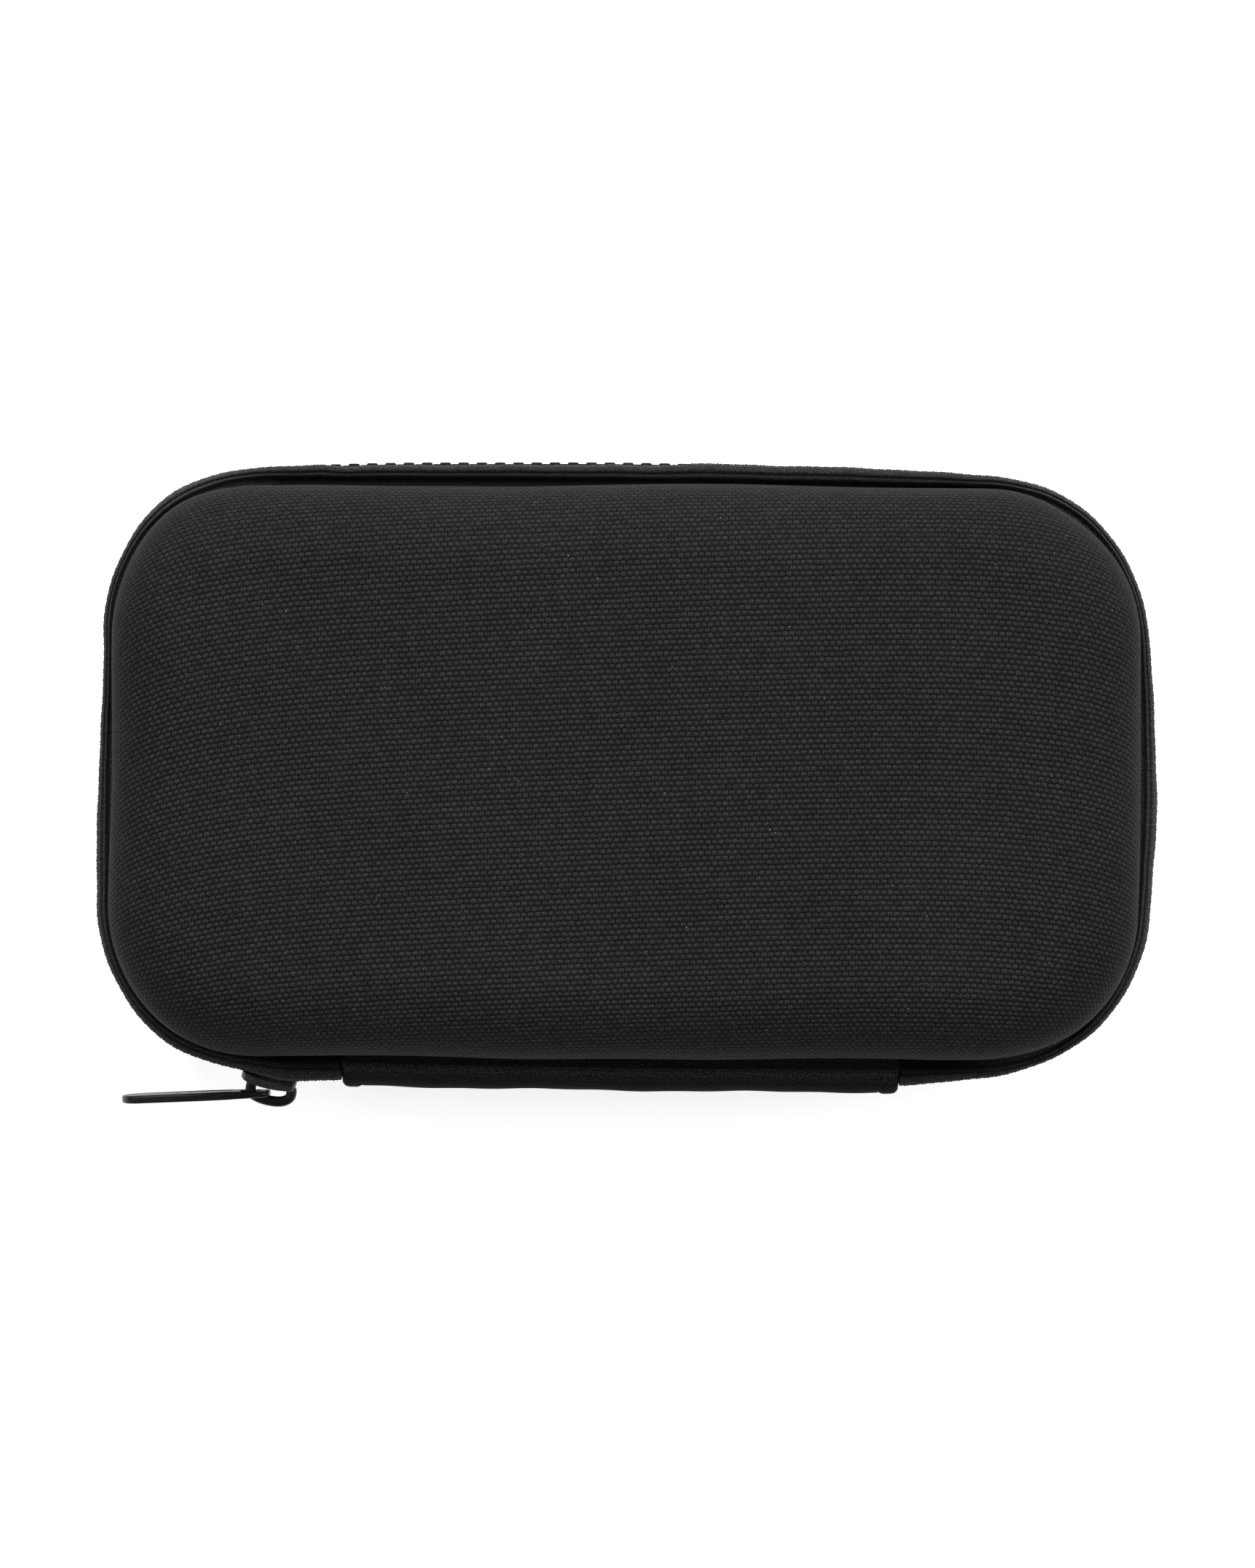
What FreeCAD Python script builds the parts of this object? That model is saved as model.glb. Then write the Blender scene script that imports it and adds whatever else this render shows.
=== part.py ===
# Hard-shell zip case for folded headphones: two moulded shells, a zip and a fabric hinge.
#
# The case lies flat and closed. +Z is up, X runs along the case, the hinge is on the -Y
# side, and the origin is the centre of the flat underside. Sizes are in millimetres.
import FreeCAD, Part

import math
import os

import Sketcher
from FreeCAD import Placement, Rotation, Vector

# Driving dimensions, one spreadsheet cell each.
SIZES = {
    # outline of the moulded shells: bowed sides joined by tangent corner arcs
    "half_length": 78.3,
    "half_width": 44.2,
    "corner_radius": 23.8,
    "end_bow_radius": 700.0,
    "side_bow_radius": 4000.0,
    # heights
    "case_height": 48.0,
    "mid_height": 24.0,
    "half_gap": 5.0,
    "face_fillet": 12.5,
    # layers of one shell, from the outside in; each inset is from the outline
    "fabric_inset": 0.0,
    "fabric_thickness": 0.6,
    "foam_inset": 0.65,
    "foam_thickness": 3.4,
    "lining_inset": 4.1,
    "lining_thickness": 0.5,
    # zip tape: sewn edge inside the shell, level part under the rim, upright edge outside
    "sewn_inset": 4.65,
    "tape_thickness": 0.6,
    "rim_clearance": 0.1,
    "sewn_height": 6.5,
    "chain_offset": 2.0,
    "tape_half": 0.3,
    "tape_edge": 1.0,
    "zip_end": 43.0,
    # zip teeth
    "tooth_pitch": 2.8,
    "tooth_length": 1.7,
    "tooth_thickness": 2.0,
    "tooth_height": 2.8,
    "tooth_middle": 0.4,
    "tooth_slot": 0.7,
    "chain_end": 47.6,
    "slider_hold": 69.5,
    "stop_hold": 52.0,
    "stop_length": 1.8,
    "stop_place": 45.3,
    # binding over the sewn edges, and the seam through shell, tape and binding
    "binding_inset": 5.3,
    "binding_thickness": 0.8,
    "binding_height": 7.5,
    "stitch_pitch": 4.0,
    "stitch_length": 2.9,
    "stitch_thickness": 0.3,
    "stitch_lift": 0.06,
    "seam_height": 3.2,
    # fabric hinge: outer band and inner facing, both bulging out through the gap
    "band_end": 42.5,
    "band_thickness": 0.6,
    "bulge_start": 1.4,
    "bulge_out": 4.7,
    "bulge_half": 2.2,
    "facing_gap": 0.15,
    "facing_thickness": 0.5,
    # zip slider, measured from the middle of the chain
    "slider_half": 4.45,
    "slider_side": 4.1,
    "channel_half": 2.05,
    "outer_plate": 1.3,
    "inner_plate": 1.2,
    "plate_corner": 2.0,
    "web_half": 0.25,
    "web_length": 2.6,
    "web_gap": 0.5,
    "flange_thickness": 0.7,
    "flange_rise": 0.65,
    "arch_rise": 6.3,
    "arch_thickness": 1.0,
    "arch_side": 1.2,
    "arch_ahead": 3.2,
    "arch_behind": 4.4,
    "arch_post": 1.2,
    "arch_slope": 2.2,
    "arch_ease": 0.6,
    "slider_place": -53.6,
    "slider_tilt": -6.0,
    # pull tab, measured from its crossbar
    "bar_ahead": 0.6,
    "bar_out": 4.35,
    "bar_radius": 0.65,
    "tab_length": 22.0,
    "bar_place": 0.0,
    "tab_side": 3.5,
    "neck_side": 2.9,
    "tab_shoulder": 6.5,
    "shoulder_slope": 1.5,
    "tip_fillet": 2.5,
    "window_end": 3.9,
    "window_side": 1.5,
    "tab_tilt": 3.0,
    # mesh pocket inside the lid
    "pocket_inset": 5.0,
    "pocket_height": 12.9,
    "mesh_thickness": 0.8,
    "pocket_edge": 8.0,
    "hem_width": 3.0,
    "hem_thickness": 1.6,
    "hem_drop": 0.4,
    "hem_inset": 5.7,
}

LID = 1
BASE = -1

doc = FreeCAD.newDocument("headphone_case")
made = []


def fill_sheet():
    """Writes every driving dimension to a spreadsheet cell with an alias."""
    sheet = doc.addObject("Spreadsheet::Sheet", "Sizes")
    for row, (name, value) in enumerate(SIZES.items(), start=1):
        sheet.set(f"A{row}", name)
        sheet.set(f"B{row}", str(value))
        sheet.setAlias(f"B{row}", name)
    doc.recompute()


# ---- sums of sizes -------------------------------------------------------------------
# A length is written as a sum of sheet names, such as "mid_height + half_gap". total()
# works it out for the first position of a sketch, and bound() is its expression.


def total(text):
    """Value of a sum of sheet names."""
    result = 0.0
    sign = 1
    for word in text.split():
        if word == "+":
            sign = 1
        elif word == "-":
            sign = -1
        else:
            result += sign * SIZES[word]
            sign = 1
    return result


def bound(text):
    """The same sum as an expression of the spreadsheet."""
    return " ".join(word if word in ("+", "-") else "Sizes." + word for word in text.split())


def minus(text):
    """The sum with every sign turned round."""
    if not text.startswith(("+ ", "- ")):
        text = "+ " + text
    return text.translate(str.maketrans("+-", "-+"))


def level(side, away):
    """Height of what lies `away` from the parting plane, up in the lid and down in the base."""
    return "mid_height + " + away if side == LID else "mid_height " + minus(away)


# ---- outline of the case -------------------------------------------------------------


def corner_centre():
    """Centre of the +X +Y corner arc, which touches both bowed sides from inside."""
    side = Vector(0, SIZES["half_width"] - SIZES["side_bow_radius"], 0)
    end = Vector(SIZES["half_length"] - SIZES["end_bow_radius"], 0, 0)
    from_side = SIZES["side_bow_radius"] - SIZES["corner_radius"]
    from_end = SIZES["end_bow_radius"] - SIZES["corner_radius"]
    apart = end - side
    along = (from_side**2 - from_end**2 + apart.Length**2) / (2 * apart.Length)
    across = math.sqrt(from_side**2 - along**2)
    unit = Vector(apart).normalize()
    return side + unit * along + Vector(unit.y, -unit.x, 0) * across


def arc(centre, radius, start, stop):
    """Arc in the XY plane, anticlockwise from the direction start to the direction stop."""
    first = math.atan2(start.y, start.x)
    last = math.atan2(stop.y, stop.x)
    if last < first:
        last += 2 * math.pi
    return Part.ArcOfCircle(Part.Circle(centre, Vector(0, 0, 1), radius), first, last)


def outline_arcs(inset):
    """The outline as (kind, sign, arc), anticlockwise: +X end, corner, +Y side, and so on."""
    corner = corner_centre()
    end = Vector(SIZES["half_length"] - SIZES["end_bow_radius"], 0, 0)
    side = Vector(0, SIZES["half_width"] - SIZES["side_bow_radius"], 0)
    to_end = corner - end
    to_side = corner - side
    arcs = []
    for sign in (1, -1):
        lower_end = Vector(to_end.x, -to_end.y, 0) * sign
        upper_end = to_end * sign
        near_side = to_side * sign
        far_side = Vector(-to_side.x, to_side.y, 0) * sign
        next_end = Vector(-to_end.x, to_end.y, 0) * sign
        next_corner = Vector(-corner.x, corner.y, 0) * sign
        end_radius = SIZES["end_bow_radius"] - inset
        side_radius = SIZES["side_bow_radius"] - inset
        corner_radius = SIZES["corner_radius"] - inset
        arcs.append(("end", sign, arc(end * sign, end_radius, lower_end, upper_end)))
        arcs.append(("corner", sign, arc(corner * sign, corner_radius, upper_end, near_side)))
        arcs.append(("side", sign, arc(side * sign, side_radius, near_side, far_side)))
        arcs.append(("corner", sign, arc(next_corner, corner_radius, far_side, next_end)))
    return arcs


def cut_side(entry, first_x, last_x):
    """A side arc shortened to run from first_x to last_x."""
    kind, sign, whole = entry
    centre = whole.Center
    height = [sign * math.sqrt(whole.Radius**2 - x**2) for x in (first_x, last_x)]
    start = Vector(first_x, height[0], 0)
    stop = Vector(last_x, height[1], 0)
    return (kind, sign, arc(centre, whole.Radius, start, stop))


def half_path(inset, last_x):
    """The +X half of the outline, from last_x on the -Y side to the middle of the +Y side."""
    plus_end, corner, front, _, _, _, back, back_corner = outline_arcs(inset)
    back_part = cut_side(back, last_x, back[2].EndPoint.x)
    front_part = cut_side(front, front[2].StartPoint.x, 0.0)
    return [back_part, back_corner, plus_end, corner, front_part]


def back_path(inset, last_x):
    """The hinge side from its middle to last_x."""
    return [cut_side(outline_arcs(inset)[6], 0.0, last_x)]


# ---- sketches ------------------------------------------------------------------------


def new_body(name):
    """A PartDesign body whose label is the node's name."""
    body = doc.addObject("PartDesign::Body", name)
    body.Label = name
    made.append(body)
    return body


def origin_plane(body, role):
    """One of the body's own origin planes."""
    return next(item for item in body.Origin.OriginFeatures if item.Role == role)


def new_sketch(body, name, role="XY_Plane", height=None):
    """A sketch on an origin plane, lifted to a height that stays bound to the sheet."""
    sketch = body.newObject("Sketcher::SketchObject", f"{body.Name}_{name}")
    sketch.AttachmentSupport = (origin_plane(body, role), [""])
    sketch.MapMode = "FlatFace"
    if height:
        sketch.AttachmentOffset = Placement(Vector(0, 0, total(height)), Rotation())
        sketch.setExpression("AttachmentOffset.Base.z", bound(height))
    return sketch


def dimension(sketch, kind, *items):
    """Adds a dimension whose last item is a sum of sheet names, and binds it to the sheet."""
    text = items[-1]
    number = sketch.addConstraint(Sketcher.Constraint(kind, *items[:-1], total(text)))
    sketch.setExpression(f"Constraints[{number}]", bound(text))


def signed(sign, text):
    """The sum, or the sum turned round."""
    return text if sign > 0 else minus(text)


def draw_arcs(sketch, arcs, inset=None):
    """Tangent outline arcs in a sketch, with centres and radii bound to the sheet."""
    for kind, sign, shape in arcs:
        index = sketch.addGeometry(shape, False)
        radius = {"end": "end_bow_radius", "corner": "corner_radius", "side": "side_bow_radius"}[kind]
        dimension(sketch, "Radius", index, f"{radius} {minus(inset)}" if inset else radius)
        if kind == "end":
            sketch.addConstraint(Sketcher.Constraint("PointOnObject", index, 3, -1))
            dimension(sketch, "DistanceX", -1, 1, index, 3, signed(sign, "half_length - end_bow_radius"))
        if kind == "side":
            sketch.addConstraint(Sketcher.Constraint("PointOnObject", index, 3, -2))
            dimension(sketch, "DistanceY", -1, 1, index, 3, signed(sign, "half_width - side_bow_radius"))
    for index in range(len(arcs) - 1):
        sketch.addConstraint(Sketcher.Constraint("Tangent", index, 2, index + 1, 1))


def outline_sketch(body, name, inset, height):
    """Closed outline at an inset."""
    sketch = new_sketch(body, name, height=height)
    arcs = outline_arcs(total(inset))
    draw_arcs(sketch, arcs, inset)
    sketch.addConstraint(Sketcher.Constraint("Tangent", len(arcs) - 1, 2, 0, 1))
    return sketch


def path_sketch(body, name, end=None):
    """Open path along half the outline; it reaches the middle of the hinge side without an end."""
    sketch = new_sketch(body, name, height="mid_height")
    draw_arcs(sketch, half_path(0.0, SIZES[end] if end else 0.0))
    sketch.addConstraint(Sketcher.Constraint("PointOnObject", 4, 2, -2))
    if end:
        dimension(sketch, "DistanceX", -1, 1, 0, 1, end)
    else:
        sketch.addConstraint(Sketcher.Constraint("PointOnObject", 0, 1, -2))
    return sketch


def hinge_path_sketch(body, name, end):
    """Open path along half of the hinge side."""
    sketch = new_sketch(body, name, height="mid_height")
    draw_arcs(sketch, back_path(0.0, SIZES[end]))
    sketch.addConstraint(Sketcher.Constraint("PointOnObject", 0, 1, -2))
    dimension(sketch, "DistanceX", -1, 1, 0, 2, end)
    return sketch


def polygon_sketch(body, name, corners, role="XY_Plane", height=None):
    """Closed polygon; each corner is a pair of sums of sheet names."""
    sketch = new_sketch(body, name, role, height)
    places = [Vector(total(across), total(up), 0) for across, up in corners]
    for index, (start, stop) in enumerate(zip(places, places[1:] + places[:1])):
        sketch.addGeometry(Part.LineSegment(start, stop), False)
        across, up = corners[index]
        dimension(sketch, "DistanceX", -1, 1, index, 1, across)
        dimension(sketch, "DistanceY", -1, 1, index, 1, up)
    for index in range(len(corners)):
        following = (index + 1) % len(corners)
        sketch.addConstraint(Sketcher.Constraint("Coincident", index, 2, following, 1))
    return sketch


def pad(body, sketch, length, reverse=False, midplane=False):
    """A pad whose length stays bound to the sheet."""
    feature = body.newObject("PartDesign::Pad", f"{sketch.Name}_pad")
    feature.Profile = sketch
    feature.Length = total(length)
    feature.setExpression("Length", bound(length))
    feature.Reversed = reverse
    feature.SideType = "Symmetric" if midplane else "One side"
    sketch.Visibility = False
    doc.recompute()
    return feature


def pocket(body, sketch, length):
    """A pocket cut to both sides of its sketch; its length stays bound to the sheet."""
    before = body.Shape.Volume
    feature = body.newObject("PartDesign::Pocket", f"{sketch.Name}_pocket")
    feature.Profile = sketch
    feature.Length = total(length)
    feature.setExpression("Length", bound(length))
    feature.SideType = "Symmetric"
    doc.recompute()
    if not body.Shape.Volume < before:
        raise RuntimeError(f"{feature.Name} cut nothing")
    return feature


def fillet(body, base, edges, radius):
    """Rounds the named edges of a feature."""
    feature = body.newObject("PartDesign::Fillet", f"{base.Name}_fillet")
    feature.Base = (base, edges)
    feature.Radius = total(radius)
    feature.setExpression("Radius", bound(radius))
    doc.recompute()
    return feature


def flat_names(shape, kind, items, height):
    """Names of the edges or faces that lie flat at a height."""
    names = []
    for number, item in enumerate(items, start=1):
        box = item.BoundBox
        if abs(box.ZMin - height) < 1e-3 and abs(box.ZMax - height) < 1e-3:
            names.append(f"{kind}{number}")
    return names


# ---- moulded shells ------------------------------------------------------------------


def shell_layer(name, side, layer):
    """One layer of a moulded shell: an outline raised from the rim, rounded and hollowed."""
    inset = f"{layer}_inset"
    rim = level(side, "half_gap")
    depth = f"case_height - mid_height - half_gap - {inset}"
    body = new_body(name)
    base = pad(body, outline_sketch(body, "outline", inset, rim), depth, reverse=side == BASE)
    face = total(rim) + side * total(depth)
    edges = flat_names(base.Shape, "Edge", base.Shape.Edges, face)
    rounded = fillet(body, base, edges, f"face_fillet - {inset}")
    hollow = body.newObject("PartDesign::Thickness", f"{name}_hollow")
    hollow.Base = (rounded, flat_names(rounded.Shape, "Face", rounded.Shape.Faces, total(rim)))
    hollow.Value = total(f"{layer}_thickness")
    hollow.setExpression("Value", bound(f"{layer}_thickness"))
    hollow.Mode = "Skin"
    hollow.Join = "Intersection"
    hollow.Reversed = True
    doc.recompute()


# ---- strips along the rim ------------------------------------------------------------


def swept_strip(name, path, corners):
    """A strip of constant section along half the rim, mirrored to the other half."""
    body = new_body(name)
    spine = path(body)
    section = polygon_sketch(body, "section", corners, role="YZ_Plane")
    sweep = body.newObject("PartDesign::AdditivePipe", f"{name}_sweep")
    sweep.Profile = section
    sweep.Spine = (spine, [f"Edge{number + 1}" for number in range(len(spine.Shape.Edges))])
    doc.recompute()
    whole = body.newObject("PartDesign::Mirrored", f"{name}_whole")
    whole.Originals = [sweep]
    whole.MirrorPlane = (origin_plane(body, "YZ_Plane"), [""])
    body.Tip = whole
    doc.recompute()


def rim_section(side, rows):
    """Section corners at the middle of the +Y side, from (outwards, away from mid) sums."""
    return [(f"half_width {out}", level(side, away)) for out, away in rows]


def zip_tape(name, side):
    """Woven tape: sewn upright inside the shell, level under the rim, upright at the teeth."""
    rows = [
        ("- sewn_inset - tape_thickness", "half_gap + sewn_height"),
        ("- sewn_inset", "half_gap + sewn_height"),
        ("- sewn_inset", "half_gap - rim_clearance"),
        ("+ chain_offset + tape_half", "half_gap - rim_clearance"),
        ("+ chain_offset + tape_half", "tape_edge"),
        ("+ chain_offset - tape_half", "tape_edge"),
        ("+ chain_offset - tape_half", "half_gap - rim_clearance - tape_thickness"),
        ("- sewn_inset - tape_thickness", "half_gap - rim_clearance - tape_thickness"),
    ]
    swept_strip(name, lambda body: path_sketch(body, "path", "zip_end"), rim_section(side, rows))


def binding(name, side):
    """Flat binding strip that covers the sewn edges all round the inside of the rim."""
    rows = [
        ("- binding_inset - binding_thickness", "half_gap + binding_height"),
        ("- binding_inset", "half_gap + binding_height"),
        ("- binding_inset", "half_gap"),
        ("- binding_inset - binding_thickness", "half_gap"),
    ]
    swept_strip(name, lambda body: path_sketch(body, "path"), rim_section(side, rows))


def hinge_rows(rows):
    """Section on the hinge side: the rows for the lid, then the same for the base in reverse."""
    upper = [(f"- half_width {minus(out)}", level(LID, away)) for out, away in rows]
    lower = [(f"- half_width {minus(out)}", level(BASE, away)) for out, away in rows]
    return upper + lower[::-1]


def hinge_band():
    """Fabric band across the gap: sewn inside both shells and bulging out between them."""
    under = "half_gap - rim_clearance"
    outside = [
        ("- sewn_inset", "half_gap + sewn_height"),
        ("- sewn_inset", under),
        ("+ bulge_start", under),
        ("+ bulge_out", "bulge_half"),
    ]
    inside = [
        ("- sewn_inset - band_thickness", "half_gap + sewn_height"),
        ("- sewn_inset - band_thickness", f"{under} - band_thickness"),
        ("+ bulge_start - tape_half", f"{under} - band_thickness"),
        ("+ bulge_out - band_thickness", "bulge_half - tape_half"),
    ]
    corners = hinge_rows(outside) + hinge_rows(inside)[::-1]
    swept_strip("hinge_band", lambda body: hinge_path_sketch(body, "path", "band_end"), corners)


def hinge_facing():
    """Lining strip behind the band, sewn at both rims."""
    top = "half_gap - rim_clearance - band_thickness - facing_gap"
    outside = [
        ("- sewn_inset - band_thickness", top),
        ("+ bulge_start - tape_half - facing_gap", top),
        ("+ bulge_out - band_thickness - facing_gap", "bulge_half - tape_half - facing_gap"),
    ]
    inside = [
        ("- sewn_inset - band_thickness", f"{top} - facing_thickness"),
        ("+ bulge_start - tape_half - facing_gap - facing_gap", f"{top} - facing_thickness"),
        (
            "+ bulge_out - band_thickness - facing_gap - facing_thickness",
            "bulge_half - facing_thickness - facing_gap",
        ),
    ]
    corners = hinge_rows(outside) + hinge_rows(inside)[::-1]
    swept_strip("hinge_facing", lambda body: hinge_path_sketch(body, "path", "band_end"), corners)


# ---- groups of small pieces along the rim --------------------------------------------


def stations(inset, spacing, last_x):
    """Evenly spaced (place, outward direction) along the +X half of the rim, front middle first."""
    arcs = [shape for _, _, shape in reversed(half_path(inset, last_x))]
    whole = sum(shape.length() for shape in arcs)
    count = round(whole / spacing)
    spots = []
    for number in range(count + 1):
        distance = min(number * whole / count, whole - 1e-6)
        for shape in arcs:
            if distance <= shape.length():
                break
            distance -= shape.length()
        angle = shape.LastParameter - distance / shape.Radius
        out = Vector(math.cos(angle), math.sin(angle), 0)
        spots.append((shape.Center + out * shape.Radius, out))
    return spots


def with_mirror(spots):
    """The spots and their mirror images at -X; one on the mirror plane stays single."""
    mirrored = [(Vector(-p.x, p.y, 0), Vector(-o.x, o.y, 0)) for p, o in spots if p.x > 0.1]
    return spots + mirrored


def placed(shape, place, out, height=0.0):
    """A copy of a shape, with its own +Y turned to the outward direction."""
    turn = math.degrees(math.atan2(out.y, out.x)) - 90
    copy = shape.copy()
    copy.Placement = Placement(place + Vector(0, 0, height), Rotation(Vector(0, 0, 1), turn))
    return copy


def block(length, thickness, bottom, top):
    """A box centred on the local Z axis."""
    corner = Vector(-length / 2, -thickness / 2, bottom)
    return Part.makeBox(length, thickness, top - bottom, corner)


def add_group(name, shapes):
    """A node that holds a group of separate solids."""
    group = doc.addObject("Part::Feature", name)
    group.Label = name
    group.Shape = Part.makeCompound(shapes)
    made.append(group)


def turned_over(shape):
    """The shape mirrored in the parting plane, for the base's half of the zip."""
    return shape.mirror(Vector(0, 0, 0), Vector(0, 0, 1))


def slotted(length, bottom, top):
    """A moulded block with a slot for the edge of the tape, on the lid's side of mid height."""
    solid = block(length, SIZES["tooth_thickness"], bottom, top)
    slot_bottom = SIZES["tape_edge"] - SIZES["rim_clearance"]
    return solid.cut(block(2 * length, SIZES["tooth_slot"], slot_bottom, 2 * top))


def zip_pieces():
    """Rows of moulded teeth on both tapes, the top stops and the bottom stop."""
    mid = SIZES["mid_height"]
    bottom = SIZES["tooth_middle"]
    top = bottom + SIZES["tooth_height"]
    tooth = slotted(SIZES["tooth_length"], bottom, top)
    spots = stations(-SIZES["chain_offset"], SIZES["tooth_pitch"] / 2, SIZES["chain_end"])
    lid_spots = with_mirror(spots[0::2])
    base_spots = with_mirror(spots[1::2])
    reach = (-SIZES["slider_hold"], SIZES["stop_hold"])
    held = [spot for spot in lid_spots if spot[0].y < 0 and reach[0] < spot[0].x < reach[1]]
    free = [spot for spot in lid_spots if spot not in held]
    add_group("lid_zip_teeth", [placed(tooth, *spot, mid) for spot in free])
    add_group("zip_captured_teeth", [placed(tooth, *spot, mid) for spot in held])
    add_group("base_zip_teeth", [placed(turned_over(tooth), *spot, mid) for spot in base_spots])

    back = cut_side(outline_arcs(-SIZES["chain_offset"])[6], 0.0, SIZES["stop_place"])[2].EndPoint
    out = Vector(0, -1, 0)
    stop = slotted(SIZES["stop_length"], bottom, top)
    left = Vector(-back.x, back.y, 0)
    add_group("zip_top_stops", [placed(stop, left, out, mid), placed(turned_over(stop), left, out, mid)])
    retainer = slotted(SIZES["stop_length"], 0.0, top)
    whole = retainer.fuse(turned_over(retainer)).removeSplitter()
    add_group("zip_bottom_stop", [placed(whole, back, out, mid)])


def seam(name, side):
    """Lockstitch through shell, tape and binding: one row outside and one on the binding."""
    thickness = SIZES["stitch_thickness"]
    dash = block(SIZES["stitch_length"], thickness, -thickness / 2, thickness / 2)
    height = total(level(side, "half_gap + seam_height"))
    from_face = SIZES["stitch_lift"] + thickness / 2
    insets = (-from_face, total("binding_inset + binding_thickness") + from_face)
    rows = [with_mirror(stations(inset, SIZES["stitch_pitch"], 0.0)) for inset in insets]
    add_group(name, [placed(dash, *spot, height) for row in rows for spot in row])


# ---- slider and pull tab -------------------------------------------------------------
# The slider's own frame: origin in the middle of the chain, +X the way it opens, +Y outwards.


def rectangle(first_x, last_x, first_y, last_y):
    """Corners of a rectangle, from sums of sheet names."""
    return [(first_x, first_y), (last_x, first_y), (last_x, last_y), (first_x, last_y)]


def end_edges(shape, least_x):
    """Names of the straight edges along Y that lie at least this far out along X."""
    names = []
    for number, edge in enumerate(shape.Edges, start=1):
        box = edge.BoundBox
        along_y = box.XLength < 1e-6 and box.ZLength < 1e-6
        if along_y and abs(box.XMin) > least_x:
            names.append(f"Edge{number}")
    return names


def block_pad(body, name, corners, half):
    """A polygon padded to the same distance on both sides of the slider's middle plane."""
    return pad(body, polygon_sketch(body, name, corners), f"{half} + {half}", midplane=True)


def slider_plates(body):
    """Outer and inner plate with rounded corners, joined by the divider web."""
    ends = ("- slider_half", "slider_half")
    outer = rectangle(*ends, "channel_half", "channel_half + outer_plate")
    inner = rectangle(*ends, "- channel_half - inner_plate", "- channel_half")
    web_ends = ("- slider_half + web_gap", "- slider_half + web_gap + web_length")
    web = rectangle(*web_ends, "- channel_half", "channel_half")
    block_pad(body, "outer_plate", outer, "slider_side")
    block_pad(body, "web", web, "web_half")
    plates = block_pad(body, "inner_plate", inner, "slider_side")
    fillet(body, plates, end_edges(plates.Shape, SIZES["slider_half"] - 1e-3), "plate_corner")


def slider_flanges(body):
    """Edges of both plates turned in towards the tape."""
    ends = ("- slider_half + plate_corner", "slider_half - plate_corner")
    outer = rectangle(*ends, "channel_half - flange_rise", "channel_half")
    inner = rectangle(*ends, "- channel_half", "- channel_half + flange_rise")
    for side, word in ((LID, "upper"), (BASE, "lower")):
        height = signed(side, "slider_side - flange_thickness")
        for place, corners in (("outer", outer), ("inner", inner)):
            sketch = polygon_sketch(body, f"{word}_{place}_flange", corners, height=height)
            pad(body, sketch, "flange_thickness", reverse=side == BASE)


def slider_arch(body):
    """Arch on the outer plate that holds the pull tab's crossbar."""
    foot = "channel_half + outer_plate - rim_clearance"
    under = "arch_rise - arch_thickness"
    corners = [
        ("arch_ahead", foot),
        ("arch_ahead", under),
        ("arch_ahead - arch_slope", "arch_rise"),
        ("- arch_behind + arch_slope", "arch_rise"),
        ("- arch_behind", "arch_rise - arch_slope"),
        ("- arch_behind", foot),
        ("- arch_behind + arch_post", foot),
        ("- arch_behind + arch_post", "arch_rise - arch_slope"),
        ("- arch_behind + arch_slope", under),
        ("arch_ahead - arch_slope", under),
        ("arch_ahead - arch_post", "arch_rise - arch_thickness - arch_ease"),
        ("arch_ahead - arch_post", foot),
    ]
    block_pad(body, "arch", corners, "arch_side")


def slider_placement():
    """Rest place on the hinge side, just before the corner, tilted to follow the corner."""
    back = cut_side(outline_arcs(-SIZES["chain_offset"])[6], SIZES["slider_place"], 0.0)[2]
    place = back.StartPoint + Vector(0, 0, SIZES["mid_height"])
    return Placement(place, Rotation(Vector(0, 0, 1), 180 + SIZES["slider_tilt"]))


def slider():
    """Cast slider with its divider, flanges and arch."""
    body = new_body("slider_body")
    slider_plates(body)
    slider_flanges(body)
    slider_arch(body)
    body.Placement = slider_placement()


def pull_tab():
    """Flat pull tab with a round crossbar that lies inside the slider's arch."""
    body = new_body("pull_tab")
    upper = [
        ("tab_length", "tab_side"),
        ("tab_shoulder", "tab_side"),
        ("tab_shoulder - shoulder_slope", "neck_side"),
        ("bar_place", "neck_side"),
    ]
    lower = [(across, minus(up)) for across, up in reversed(upper)]
    outline = polygon_sketch(body, "outline", upper + lower, role="XZ_Plane")
    plate = pad(body, outline, "bar_radius + bar_radius", midplane=True)
    fillet(body, plate, end_edges(plate.Shape, SIZES["tab_length"] - 1e-3), "tip_fillet")
    window = rectangle("bar_radius", "window_end", "- window_side", "window_side")
    pocket(body, polygon_sketch(body, "window", window, role="XZ_Plane"), "tab_length")
    bar = new_sketch(body, "crossbar")
    bar.addGeometry(Part.Circle(Vector(0, 0, 0), Vector(0, 0, 1), SIZES["bar_radius"]), False)
    bar.addConstraint(Sketcher.Constraint("Coincident", 0, 3, -1, 1))
    dimension(bar, "Radius", 0, "bar_radius")
    pad(body, bar, "neck_side + neck_side", midplane=True)
    pivot = slider_placement().multVec(Vector(SIZES["bar_ahead"], SIZES["bar_out"], 0))
    body.Placement = Placement(pivot, Rotation(Vector(0, 0, 1), 180 + SIZES["tab_tilt"]))


# ---- mesh pocket ---------------------------------------------------------------------


def mesh_pocket():
    """Mesh panel across the hinge side of the lid, sewn along three edges."""
    body = new_body("mesh_pocket")
    bottom = "mid_height + pocket_height"
    pad(body, outline_sketch(body, "outline", "pocket_inset", bottom), "mesh_thickness")
    opening = rectangle("- half_length", "half_length", "pocket_edge", "half_width")
    pocket(body, polygon_sketch(body, "opening", opening), "case_height + case_height")


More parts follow.
